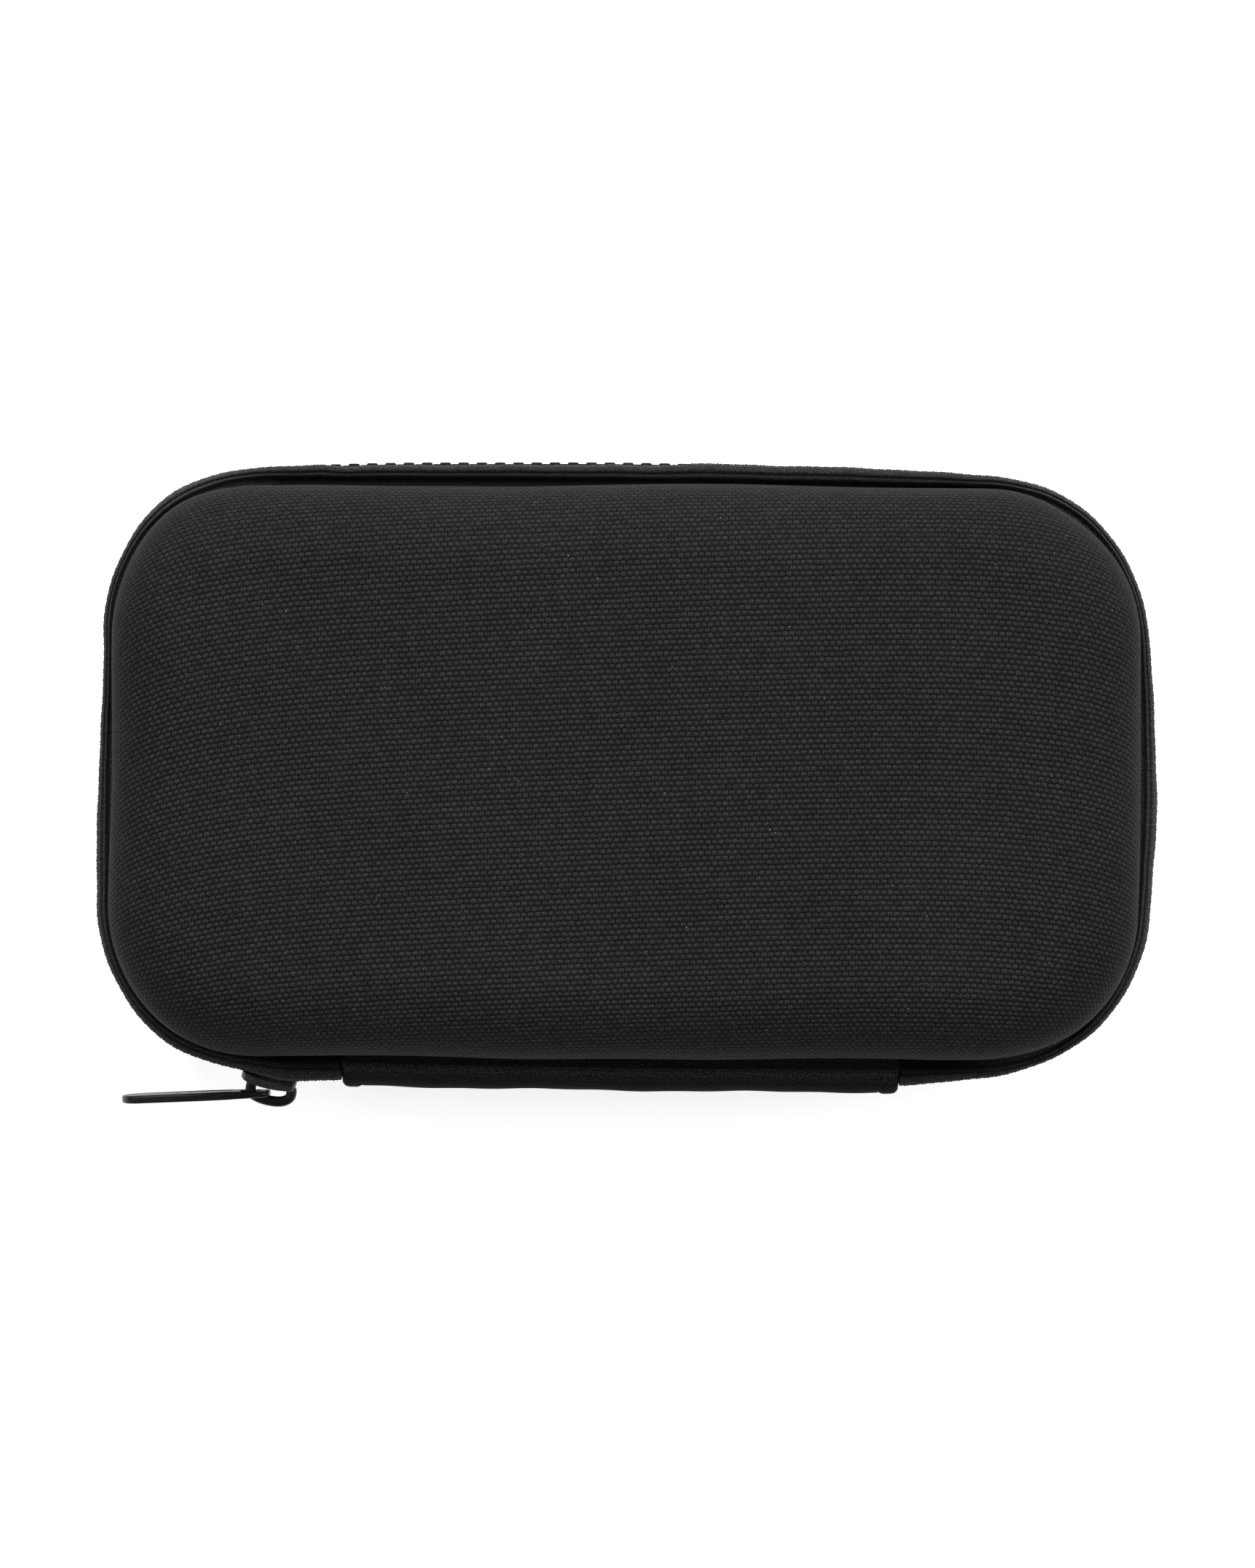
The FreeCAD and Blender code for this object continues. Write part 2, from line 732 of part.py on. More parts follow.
def pocket_hem():
    """Elastic hem along the pocket's open edge, with its row of stitches."""
    hem = doc.addObject("Part::Box", "pocket_elastic_hem")
    hem.Label = "pocket_elastic_hem"
    reach = "half_length - hem_inset"
    sizes = {
        "Length": f"{reach} + {reach}",
        "Width": "hem_width",
        "Height": "hem_thickness",
        "Placement.Base.x": minus(reach),
        "Placement.Base.y": "pocket_edge",
        "Placement.Base.z": "mid_height + pocket_height - hem_drop",
    }
    for name, text in sizes.items():
        hem.setExpression(name, bound(text))
    made.append(hem)

    thickness = SIZES["stitch_thickness"]
    dash = block(SIZES["stitch_length"], thickness, -thickness, 0.0)
    height = total("mid_height + pocket_height - hem_drop - stitch_lift")
    across = SIZES["pocket_edge"] + SIZES["hem_width"] / 2
    count = int(total(reach) / SIZES["stitch_pitch"])
    places = [Vector(n * SIZES["stitch_pitch"], across, 0) for n in range(-count + 1, count)]
    add_group("pocket_hem_stitches", [placed(dash, place, Vector(0, 1, 0), height) for place in places])


# ---- document ------------------------------------------------------------------------


def check_document():
    """Stops if any object failed or any sub-part's shape is empty or not valid."""
    for item in doc.Objects:
        if "Invalid" in item.State or "Error" in item.State:
            raise RuntimeError(f"{item.Name}: {item.State}")
    for item in made:
        if item.Shape.isNull() or not item.Shape.isValid() or not item.Shape.Solids:
            raise RuntimeError(f"{item.Label}: bad shape")


def write_parts():
    """Writes each sub-part to its own STEP file."""
    os.makedirs("parts", exist_ok=True)
    for item in made:
        item.Shape.exportStep(f"parts/{item.Label}.step")
        box = item.Shape.BoundBox
        solids = len(item.Shape.Solids)
        print(f"{item.Label:22} solids {solids:3}  z {box.ZMin:6.2f} to {box.ZMax:6.2f}")


fill_sheet()
for shell, side in (("base", BASE), ("lid", LID)):
    shell_layer(f"{shell}_outer_fabric", side, "fabric")
    shell_layer(f"{shell}_foam_shell", side, "foam")
    shell_layer(f"{shell}_lining", side, "lining")
    zip_tape(f"{shell}_zip_tape", side)
    binding(f"{shell}_binding", side)
    seam(f"{shell}_seam_stitches", side)
zip_pieces()
hinge_band()
hinge_facing()
slider()
pull_tab()
mesh_pocket()
pocket_hem()
doc.recompute()
check_document()
write_parts()
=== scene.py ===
import math
from contextlib import contextmanager

import bmesh
import bpy
import numpy as np
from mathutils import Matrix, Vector

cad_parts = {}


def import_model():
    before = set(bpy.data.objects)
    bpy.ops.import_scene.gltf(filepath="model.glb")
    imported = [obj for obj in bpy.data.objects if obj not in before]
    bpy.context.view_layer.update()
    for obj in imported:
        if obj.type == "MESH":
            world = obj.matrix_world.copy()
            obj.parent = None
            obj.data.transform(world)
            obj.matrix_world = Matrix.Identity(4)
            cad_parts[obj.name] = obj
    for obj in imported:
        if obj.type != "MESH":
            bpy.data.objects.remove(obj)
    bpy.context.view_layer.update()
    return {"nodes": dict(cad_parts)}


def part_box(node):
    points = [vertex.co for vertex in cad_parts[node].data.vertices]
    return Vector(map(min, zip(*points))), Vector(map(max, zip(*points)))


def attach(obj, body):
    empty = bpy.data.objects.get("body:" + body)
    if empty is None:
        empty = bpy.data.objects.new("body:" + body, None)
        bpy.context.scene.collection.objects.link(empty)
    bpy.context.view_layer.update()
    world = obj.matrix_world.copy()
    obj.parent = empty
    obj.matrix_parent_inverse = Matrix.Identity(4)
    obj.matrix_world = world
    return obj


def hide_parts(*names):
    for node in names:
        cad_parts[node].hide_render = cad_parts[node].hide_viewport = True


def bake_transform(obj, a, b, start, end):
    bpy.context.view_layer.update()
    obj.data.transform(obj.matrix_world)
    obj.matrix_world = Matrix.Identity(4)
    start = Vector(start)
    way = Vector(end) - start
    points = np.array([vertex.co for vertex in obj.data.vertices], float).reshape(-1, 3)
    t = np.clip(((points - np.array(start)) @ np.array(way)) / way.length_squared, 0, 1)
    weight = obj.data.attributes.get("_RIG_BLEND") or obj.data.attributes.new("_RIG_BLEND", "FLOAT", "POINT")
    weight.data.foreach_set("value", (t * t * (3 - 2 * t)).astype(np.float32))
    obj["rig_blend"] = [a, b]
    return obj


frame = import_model()

# All shape numbers below are in millimetres in the CAD frame, and become metres in build().
MM = 0.001

# ---- the case's main sizes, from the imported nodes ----


def box_mm(node):
    """Lowest and highest corner of a CAD node in millimetres."""
    low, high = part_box(node)
    return np.array(low) / MM, np.array(high) / MM


LID_LOW, LID_HIGH = box_mm("lid_outer_fabric")
HALF_X, HALF_Y = LID_HIGH[0], LID_HIGH[1]
TOP = LID_HIGH[2]
RIM = LID_LOW[2]
MID = TOP / 2
FACE_FILLET = 12.5
SEAM_HEIGHT = 8.2
SEAM_DROP = TOP - MID - SEAM_HEIGHT
HINGE_LINE = -47.5
TAU = 2 * math.pi


# ---- outlines ----


class Outline:
    """A rounded outline with bowed sides and ends, walked counterclockwise from the hinge's middle."""

    def __init__(self, half_x, half_y, end_bow, side_bow, corner):
        end = half_x - end_bow
        side = half_y - side_bow
        centre = self.corner_centre(end, side, end_bow - corner, side_bow - corner)
        side_span = math.atan2(centre[0], centre[1] - side)
        end_span = math.atan2(centre[1], centre[0] - end)
        quarter = math.pi / 2
        arcs = []
        for turn, sign in ((0, 1), (2, -1)):
            at = turn * quarter
            arcs += [
                ((0, -sign * side), side_bow, at - quarter, at - quarter + side_span),
                ((sign * centre[0], -sign * centre[1]), corner, at - quarter + side_span, at - end_span),
                ((sign * end, 0), end_bow, at - end_span, at + end_span),
                ((sign * centre[0], sign * centre[1]), corner, at + end_span, at + quarter - side_span),
                ((0, sign * side), side_bow, at + quarter - side_span, at + quarter),
            ]
        self.centres = np.array([a[0] for a in arcs], float)
        self.radii = np.array([a[1] for a in arcs], float)
        self.starts = np.array([a[2] for a in arcs])
        self.lengths = self.radii * np.array([a[3] - a[2] for a in arcs])
        self.marks = np.concatenate([[0], np.cumsum(self.lengths)])
        self.length = self.marks[-1]

    @staticmethod
    def corner_centre(end, side, end_reach, side_reach):
        """Centre of the corner arc, at end_reach from (end, 0) and side_reach from (0, side)."""
        across = np.array([-end, side])
        span = np.linalg.norm(across)
        unit = across / span
        along = (end_reach**2 - side_reach**2 + span**2) / (2 * span)
        out = math.sqrt(end_reach**2 - along**2)
        return np.array([end, 0]) + unit * along + np.array([-unit[1], unit[0]]) * out

    def walk(self, distances):
        """Points and outward normals at the given distances along the outline."""
        s = np.mod(distances, self.length)
        arc = np.clip(np.searchsorted(self.marks, s, side="right") - 1, 0, len(self.radii) - 1)
        angle = self.starts[arc] + (s - self.marks[arc]) / self.radii[arc]
        normals = np.stack([np.cos(angle), np.sin(angle)], axis=1)
        return self.centres[arc] + normals * self.radii[arc][:, None], normals

    def divided(self, counts):
        """Distances that divide each arc evenly: counts is for a half side, a corner and an end."""
        side, corner, end = counts
        per_arc = [side, corner, end, corner, side] * 2
        steps = [length * np.arange(n) / n for length, n in zip(self.lengths, per_arc)]
        return np.concatenate([mark + step for mark, step in zip(self.marks, steps)])


def all_round(count):
    """Distances, points and normals of evenly spaced stations round the shell's whole outline."""
    distances = np.linspace(0, shell.length, count, endpoint=False)
    return distances, *shell.walk(distances)


shell = Outline(HALF_X, HALF_Y, 700, 4000, 23.8)


def bumps(points, base, spots):
    """base plus soft local changes: each spot is (x, y, width, change), felt around that place."""
    total = np.full(len(points), float(base))
    for x, y, width, change in spots:
        away = np.hypot(points[:, 0] - x, points[:, 1] - y)
        total += change * np.exp(-((away / width) ** 2))
    return total


# Where the tape stands out more or less than usual, as it was sewn.
REACH_USUAL = 2.45
REACH_SPOTS = [
    (0, 44, 32, 0.85), (-36, 44, 16, 0.3), (36, 44, 16, 0.3), (78, -5, 14, 0.8), (77, 27, 9, -0.5),
    (-78, 12, 13, -0.75), (-78, -6, 10, -0.15), (-69, 39, 9, 0.5), (-69, -39, 9, 0.65), (62, -43, 12, -0.45),
    (-77, 28, 8, -0.2), (-42, -47, 7, 1.5), (-51, -47, 5, 1.9), (43, -47, 9, 1.15), (56, 44, 8, -0.25),
    (-56, 44, 8, -0.4),
]
# Where the lid's wall is drawn in, mostly along its long sides.
PULL_SPOTS = [
    (-36, 44, 24, -1.15), (0, 44, 14, -0.4), (34, 44, 22, -0.5), (34, -44, 24, -1.2), (0, -44, 14, -0.6),
    (-32, -44, 20, -0.75), (-78, 0, 18, -0.9), (78, 8, 18, -0.3), (-68, -39, 10, 0.45), (60, -42, 9, -0.65),
    (-57, 43, 8, -0.5), (-15, 44, 12, -0.45), (68, 39, 8, -0.45), (-68, 39, 7, 0.4), (-78, 28, 7, -0.25),
]
# How far the groove beside the lid lies outside the shell's outline, at the ends and corners.
GROOVE_SPOTS = [
    (78, 0, 26, 0.85), (69, 39, 12, 0.6), (69, -39, 12, 0.4), (-78, 0, 16, 0.25), (-75, 30, 12, 0.6),
    (-69, 39, 10, 0.5), (-75, -30, 12, 0.7), (-69, -39, 10, 0.5),
]


def reach_at(points):
    """How far the zip tape stands out from the shell's outline at each point."""
    return bumps(points, REACH_USUAL, REACH_SPOTS)


def pull_at(points):
    """How far the lid's wall is drawn in from the outline at each point."""
    return bumps(points, 0.0, PULL_SPOTS)


# Section of the lid's zip tape, (out from the shell's outline, height above the zip's middle): down
# from the seam inside, the groove beside the lid, two rolled ridges, and the fold over the teeth.
TAPE_TOP = [
    (-4.62, 11.3), (-4.64, 8.5), (-4.66, 5.6), (-4.45, 5.05), (-3.9, 4.9), (-1.8, 4.8), (-1.2, 4.3),
    (-0.6, 4.14), (0.25, 4.12), (0.5, 4.3), (0.68, 4.9), (0.9, 5.3), (1.15, 5.42), (1.38, 5.3), (1.5, 5.0),
    (1.56, 5.0), (1.68, 5.32), (1.9, 5.55), (2.2, 5.6), (2.5, 5.4), (2.72, 5.1), (2.86, 4.75), (2.9, 4.45),
    (2.8, 4.22), (2.5, 4.1), (2.33, 3.95), (2.3, 3.5), (2.3, 1.2), (2.2, 1.02), (1.8, 1.02), (1.7, 1.2),
    (1.7, 3.6), (1.6, 3.8), (1.4, 3.86), (-2.0, 3.76), (-4.9, 4.2), (-5.15, 4.55), (-5.22, 5.0),
    (-5.22, 8.5), (-5.2, 11.3), (-4.9, 11.4),
]


def lengths_along(line):
    """Length of a line up to each of its points."""
    steps = np.linalg.norm(np.diff(line, axis=0), axis=1)
    return np.concatenate([[0], np.cumsum(steps)])


# Places across the cloth, by its own v: the tape's groove, the dip between its ridges and the start
# of its fold, and the hinge band's row of tall loops.
GROOVE_V, RIDGE_V, EDGE_V = lengths_along(TAPE_TOP)[[8, 14, 20]].tolist()
LOOPS_V = 12.9


# ---- meshes ----


def new_object(name, data):
    """An object with this data, in the scene."""
    obj = bpy.data.objects.new(name, data)
    bpy.context.scene.collection.objects.link(obj)
    return obj


def build(name, points, faces, uv=None, smooth=True):
    """A mesh object from points in millimetres. uv holds one pair for each face corner."""
    mesh = bpy.data.meshes.new(name)
    mesh.from_pydata((np.asarray(points, float) * MM).tolist(), [], [tuple(f) for f in faces])
    if uv is not None:
        layer = mesh.uv_layers.new(name="Cloth")
        layer.data.foreach_set("uv", np.asarray(uv, np.float32).ravel())
    mesh.polygons.foreach_set("use_smooth", [smooth] * len(mesh.polygons))
    mesh.update()
    return new_object(name, mesh)


def skin(name, rows, uv, around=True, tube=False):
    """Skins rows[m, n] of points. around joins the last column to the first, tube the last row.

    uv[m, n] has one more column where around is set, and one more row where tube is set.
    """
    count_rows, count_columns = rows.shape[:2]
    i = np.arange(count_rows if tube else count_rows - 1)[:, None]
    j = np.arange(count_columns if around else count_columns - 1)[None, :]
    next_i = (i + 1) % count_rows
    next_j = (j + 1) % count_columns
    corners = [
        (i, j, i, j),
        (i, next_j, i, j + 1),
        (next_i, next_j, i + 1, j + 1),
        (next_i, j, i + 1, j),
    ]
    faces = np.stack([(a * count_columns + b) + 0 * (i + j) for a, b, _, _ in corners], axis=-1)
    pairs = np.stack([uv[a + 0 * j, b + 0 * i] for _, _, a, b in corners], axis=2)
    return build(name, rows.reshape(-1, 3), faces.reshape(-1, 4), pairs.reshape(-1, 2))


@contextmanager
def edited(obj):
    """Opens an object's mesh for editing, and writes it back at the end."""
    mesh = bmesh.new()
    mesh.from_mesh(obj.data)
    mesh.verts.ensure_lookup_table()
    yield mesh
    mesh.to_mesh(obj.data)
    mesh.free()


def face_outwards(mesh):
    """Turns an edited mesh's faces outwards."""
    bmesh.ops.recalc_face_normals(mesh, faces=mesh.faces)


def finish_mesh(obj):
    """Makes the normals point outwards."""
    with edited(obj) as mesh:
        face_outwards(mesh)
    return obj


def cap(obj, count_columns, count_rows):
    """Closes both ends of an open tube made by skin()."""
    with edited(obj) as mesh:
        for column in (0, count_columns - 1):
            ring = [mesh.verts[row * count_columns + column] for row in range(count_rows)]
            mesh.faces.new(ring).smooth = False
        face_outwards(mesh)
    return obj


def at_each(section, points):
    """The same section [rows, 2] at every station: [rows, stations, 2]."""
    return np.repeat(np.asarray(section)[:, None, :], len(points), axis=1)


def closed_lengths(section):
    """Length round a closed section up to each point, and round to the first one again."""
    return lengths_along(np.vstack([section, section[:1]]))


def evaluated_mesh(obj):
    """A new mesh: the object's, with its modifiers or its curve settings applied."""
    graph = bpy.context.evaluated_depsgraph_get()
    return bpy.data.meshes.new_from_object(obj.evaluated_get(graph))


def thicken(obj, thickness, offset=-1.0):
    """Gives a surface real thickness."""
    solid = obj.modifiers.new("Thickness", "SOLIDIFY")
    solid.thickness = thickness * MM
    solid.offset = offset
    return obj


def swept(name, section, points, normals, lengths, closed=False):
    """Sweeps a closed section (out, height) along an outline.

    section is [rows, stations, 2]. lengths are the distances along the outline.
    """
    out, height = section[..., 0], section[..., 1]
    flat = points[None] + normals[None] * out[..., None]
    rows = np.concatenate([flat, height[..., None]], axis=-1)
    across = closed_lengths(section[:, len(points) // 2])
    along = np.append(lengths, lengths[0] + shell.length) if closed else lengths
    obj = skin(name, rows, np.stack(np.meshgrid(along, across), axis=-1), around=closed, tube=True)
    return finish_mesh(obj) if closed else cap(obj, len(points), len(section))


def ring_faces(rings, count):
    """Faces between neighbouring rings of count points each, then one at each end."""
    faces = []
    for i in range(rings - 1):
        for j in range(count):
            k = (j + 1) % count
            faces.append((i * count + j, i * count + k, (i + 1) * count + k, (i + 1) * count + j))
    return faces + [tuple(i * count + j for j in range(count)) for i in (0, rings - 1)]


def joined(parts):
    """All the points of some parts, and their faces numbered to match."""
    points, faces, start = [], [], 0
    for part_points, part_faces in parts:
        points.append(part_points)
        faces += [tuple(start + k for k in face) for face in part_faces]
        start += len(part_points)
    return np.concatenate(points), faces


def mirrored(section):
    """The base's section from the lid's: heights turned over about the zip."""
    out = section.copy()
    out[..., 1] = 2 * MID - out[..., 1]
    return out


def rounded(corners, radius, steps=3):
    """Closed polygon with its corners cut by short arcs, for soft edges."""
    corners = np.asarray(corners, float)
    points = []
    for k, corner in enumerate(corners):
        before = corners[k - 1] - corner
        after = corners[(k + 1) % len(corners)] - corner
        reach = min(radius, 0.45 * np.linalg.norm(before), 0.45 * np.linalg.norm(after))
        start = corner + before / np.linalg.norm(before) * reach
        end = corner + after / np.linalg.norm(after) * reach
        for t in np.linspace(0, 1, steps + 1):
            points.append((1 - t) ** 2 * start + 2 * t * (1 - t) * corner + t**2 * end)
    return np.array(points)


def solids(node):
    """Corner points of each separate solid of a CAD node, in millimetres."""
    mesh = bmesh.new()
    mesh.from_mesh(frame["nodes"][node].data)
    bmesh.ops.remove_doubles(mesh, verts=mesh.verts, dist=1e-6)
    seen, found = set(), []
    for vert in mesh.verts:
        if vert in seen:
            continue
        seen.add(vert)
        group, waiting = [], [vert]
        while waiting:
            here = waiting.pop()
            group.append(np.array(here.co) / MM)
            for edge in here.link_edges:
                there = edge.other_vert(here)
                if there not in seen:
                    seen.add(there)
                    waiting.append(there)
        found.append(np.array(group))
    mesh.free()
    return found


# ---- node materials ----


class Value:
    """A shader socket that takes ordinary arithmetic: each sign adds one math node."""

    def __init__(self, nodes, socket):
        self.nodes = nodes
        self.socket = socket

    def other(self, output):
        """Another output of the same node."""
        return Value(self.nodes, self.socket.node.outputs[output])

    def __abs__(self):
        return self.nodes.math("ABSOLUTE", self)

    def __add__(self, b):
        return self.nodes.math("ADD", self, b)

    def __radd__(self, b):
        return self.nodes.math("ADD", b, self)

    def __sub__(self, b):
        return self.nodes.math("SUBTRACT", self, b)

    def __rsub__(self, b):
        return self.nodes.math("SUBTRACT", b, self)

    def __mul__(self, b):
        return self.nodes.math("MULTIPLY", self, b)

    def __truediv__(self, b):
        return self.nodes.math("DIVIDE", self, b)

    def __pow__(self, b):
        return self.nodes.math("POWER", self, b)


class Nodes:
    """Small helper that wires shader nodes for one material."""

    def __init__(self, name):
        self.material = bpy.data.materials.new(name)
        self.material.use_nodes = True
        self.tree = self.material.node_tree
        self.shader = self.tree.nodes["Principled BSDF"]

    def put(self, socket, value):
        """Links value if it is a node's output, and sets it as the socket's own value otherwise."""
        if isinstance(value, Value):
            self.tree.links.new(value.socket, socket)
        else:
            socket.default_value = value

    def new(self, kind, output=0, inputs=(), **settings):
        """One output of a new node, which has these inputs and settings."""
        made = self.tree.nodes.new(kind)
        for key, value in settings.items():
            setattr(made, key, value)
        for key, value in dict(inputs).items():
            self.put(made.inputs[key], value)
        return Value(self, made.outputs[output])

    def math(self, operation, a, b=0.0):
        """One step of arithmetic."""
        return self.new("ShaderNodeMath", 0, {0: a, 1: b}, operation=operation)

    def ramp(self, value, low, high, to_low=0.0, to_high=1.0, kind="SMOOTHSTEP"):
        """Value moved from the range low to high into the range to_low to to_high, and kept there."""
        inputs = {"Value": value, "From Min": low, "From Max": high, "To Min": to_low, "To Max": to_high}
        return self.new("ShaderNodeMapRange", 0, inputs, interpolation_type=kind)

    def mix(self, share, a, b):
        """Mix of two colours."""
        return self.new("ShaderNodeMix", 2, {0: share, 6: a, 7: b}, data_type="RGBA")

    def shaded(self, shade, level, tint=1.0, headroom=4.0):
        """A cloth's colour: its usual level times shade, which may go above 1 up to the headroom."""
        return self.mix(shade / headroom, grey(0.0), grey(level * headroom, tint))

    def cloth(self):
        """Fabric coordinates in millimetres: both together, along and across."""
        uv = self.new("ShaderNodeUVMap", uv_map="Cloth")
        along = self.new("ShaderNodeSeparateXYZ", 0, {0: uv})
        return uv, along, along.other(1)

    def uneven_cloth(self, scale, detail, reach_u, reach_v):
        """Fabric coordinates, and along and across again with yarns that wander by up to the reaches."""
        uv, u, v = self.cloth()
        drift = self.new("ShaderNodeSeparateXYZ", 0, {0: self.noise(uv, scale, detail, 0.6).other("Color")})
        u_soft = u + self.ramp(drift, 0.2, 0.8, -reach_u, reach_u, "LINEAR")
        v_soft = v + self.ramp(drift.other(1), 0.2, 0.8, -reach_v, reach_v, "LINEAR")
        return uv, v, u_soft, v_soft

    def place(self):
        """Object coordinates, in metres."""
        return self.new("ShaderNodeTexCoord", "Object")

    def noise(self, vector, scale, detail, rough):
        """Noise from about 0 to 1, whose other output is a noise colour."""
        inputs = {"Vector": vector, "Scale": scale, "Detail": detail, "Roughness": rough}
        return self.new("ShaderNodeTexNoise", 0, inputs)

    def stretched_noise(self, vector, x, y, detail, rough, scale=1.0, z=1.0):
        """Noise on coordinates that are first multiplied by x, y and z."""
        scaled = self.new("ShaderNodeVectorMath", 0, {0: vector, 1: (x, y, z)}, operation="MULTIPLY")
        return self.noise(scaled, scale, detail, rough)

    def finish(self, colour, roughness, bump, specular, **values):
        """Sets the shader. bump is (height, distance in millimetres, strength); values are by name."""
        height, distance, strength = bump
        inputs = {"Height": height, "Distance": distance * MM, "Strength": strength}
        self.put(self.shader.inputs["Base Color"], colour)
        self.put(self.shader.inputs["Roughness"], roughness)
        self.put(self.shader.inputs["Normal"], self.new("ShaderNodeBump", 0, inputs))
        for key, value in {"Specular_IOR_Level": specular, **values}.items():
            self.shader.inputs[key.replace("_", " ")].default_value = value
        return self.material


def grey(value, tint=1.0):
    """A near-neutral colour: tint scales its blue."""
    return (value, value, value * tint, 1.0)


def bricks(n, u, v, width, height):
    """Offset cells such as a weave's: places in each cell from -0.5 to 0.5, and the cell's own value."""
    row_place = v / height
    row = n.math("FLOOR", row_place)
    shift = n.math("FLOORED_MODULO", row, 2.0) * 0.5
    column_place = u / width + shift
    cell = n.new("ShaderNodeCombineXYZ", 0, {0: n.math("FLOOR", column_place), 1: row})
    own = n.new("ShaderNodeTexWhiteNoise", 0, {"Vector": cell}, noise_dimensions="2D")
    return n.math("FRACT", column_place) - 0.5, n.math("FRACT", row_place) - 0.5, own


def dome(n, in_u, in_v, power, width=0.94, ends=2.3, sides=2.0):
    """Rounded bump of one yarn crossing, 1 in the middle and 0 at its rounded edge."""
    across = abs(in_u * (2.0 * width)) ** ends
    along = abs(in_v * 2.0) ** sides
    return n.math("MAXIMUM", 1.0 - (across + along), 0.0) ** power


def groove_shade(n, v, middle, half, depth):
    """1 outside a groove across the cloth and 1 - depth inside it."""
    return n.ramp(abs(v - middle), half * 0.55, half * 1.25, 1 - depth, 1.0)


def woven_material():
    """Plain-weave polyester of the shells: offset rows of yarn crossings with painted shade in their gaps
    and painted glints on their upper sides, and a little lint.
    """
    crossing_length, row_pitch, level = 1.006, 0.807, 0.0262
    n = Nodes("woven_polyester")
    uv, _, u_soft, v_soft = n.uneven_cloth(0.4, 3.0, 0.13, 0.1)
    in_u, in_v, own = bricks(n, u_soft, v_soft, crossing_length, row_pitch)
    crossing = dome(n, in_u, in_v, 0.9, 1.02, 1.9, 3.0)
    fibre = n.stretched_noise(uv, 4.6, 5.4, 2.0, 0.65)
    filament = n.stretched_noise(uv, 3.0, 11.0, 2.0, 0.6)
    height = crossing * n.ramp(own, 0, 1, 0.75, 1.0) + fibre * 0.5 + filament * 0.1
    # Painted shade: the gaps between yarn crossings are painted darker, and each crossing's own tone differs
    # at random.
    shade = n.ramp(crossing, 0.0, 0.6, 0.42, 1.0) * n.ramp(own, 0, 1, 0.8, 1.2, "LINEAR")
    shade = shade * n.ramp(fibre, 0.34, 0.68, 0.62, 1.3)
    shade = shade * n.ramp(n.noise(n.place(), 38.0, 3.0, 0.55), 0.3, 0.7, 0.94, 1.06)
    # Painted glints: small bright marks in a band on the upper side of each crossing, the side towards the
    # front light.
    painted_glint_noise = n.stretched_noise(uv, 4.0, 7.0, 2.0, 0.6) * n.ramp(fibre, 0.3, 0.6, 0.8, 1.1)
    painted_glint_band = n.ramp(abs(in_v - 0.14), 0.02, 0.3, 1.0, 0.0)
    painted_glint = n.ramp(painted_glint_noise, 0.44, 0.64) * (painted_glint_band * n.ramp(crossing, 0.1, 0.6))
    colour = n.shaded(shade + painted_glint * 1.15, level, 0.99)
    speck = n.new("ShaderNodeTexVoronoi", "Distance", {"Vector": uv, "Scale": 1.15}, feature="F1")
    chosen = n.new("ShaderNodeSeparateXYZ", 0, {0: speck.other("Color")})
    near = speck + n.ramp(fibre, 0.3, 0.7, -0.05, 0.05)
    lint = n.ramp(near, 0.05, 0.1, 1.0, 0.0) * n.math("GREATER_THAN", chosen, 0.978)
    colour = n.mix(lint * 0.85, colour, grey(0.42))
    roughness = n.ramp(fibre, 0.25, 0.75, 0.8, 0.5)
    return n.finish(colour, roughness, (height, 0.26, 0.8), 0.035)


def tape_material():
    """Ribbed tape: rows of flat picks along it, with painted shade in the groove beside the lid, on its
    first ridge and in the dip between its ridges, less of it towards the case's ends, and a painted
    highlight along its fold.
    """
    pick_length, row_pitch, level = 0.8, 0.36, 0.034
    n = Nodes("zip_tape_weave")
    uv, v, u_soft, v_soft = n.uneven_cloth(0.9, 3.0, 0.25, 0.1)
    in_u, in_v, own = bricks(n, u_soft, v_soft, pick_length, row_pitch)
    pick = dome(n, in_u, in_v, 0.7)
    fibre = n.stretched_noise(uv, 3.6, 5.4, 3.0, 0.65)
    shade = n.ramp(pick, 0.1, 0.9, 0.6, 1.0) * n.ramp(fibre, 0.32, 0.7, 0.4, 1.7)
    shade = shade * n.ramp(own, 0, 1, 0.85, 1.15) * groove_shade(n, v, RIDGE_V, 0.14, 0.6)
    # Painted shade across the tape: darkest in the groove beside the lid, darker on the first ridge and
    # lighter on the far ridge; towards the case's ends all of it is painted lighter.
    at_ends = n.ramp(abs(n.new("ShaderNodeSeparateXYZ", 0, {0: n.place()})), 0.05, 0.068)
    bottom = 0.15 + at_ends * 1.35
    ridge = 0.55 + at_ends * 1.35
    far_ridge_painted_light = 1.3 + at_ends * 1.1
    painted_shading_across = bottom + n.ramp(v, GROOVE_V + 0.2, GROOVE_V + 0.75) * (ridge - bottom)
    painted_shading_across = painted_shading_across + n.ramp(v, RIDGE_V, RIDGE_V + 0.35) * (far_ridge_painted_light - ridge)
    # Painted highlight: a bright line along the start of the tape's fold.
    edge = n.ramp(abs(v - EDGE_V), 0.06, 0.3, 2.0, 1.0)
    colour = n.shaded(shade * painted_shading_across * edge, level, 1.02)
    bump = (pick * 0.55 + fibre * 0.9, 0.08, 0.8)
    return n.finish(colour, n.ramp(fibre, 0.2, 0.8, 0.6, 0.9), bump, 0.1)


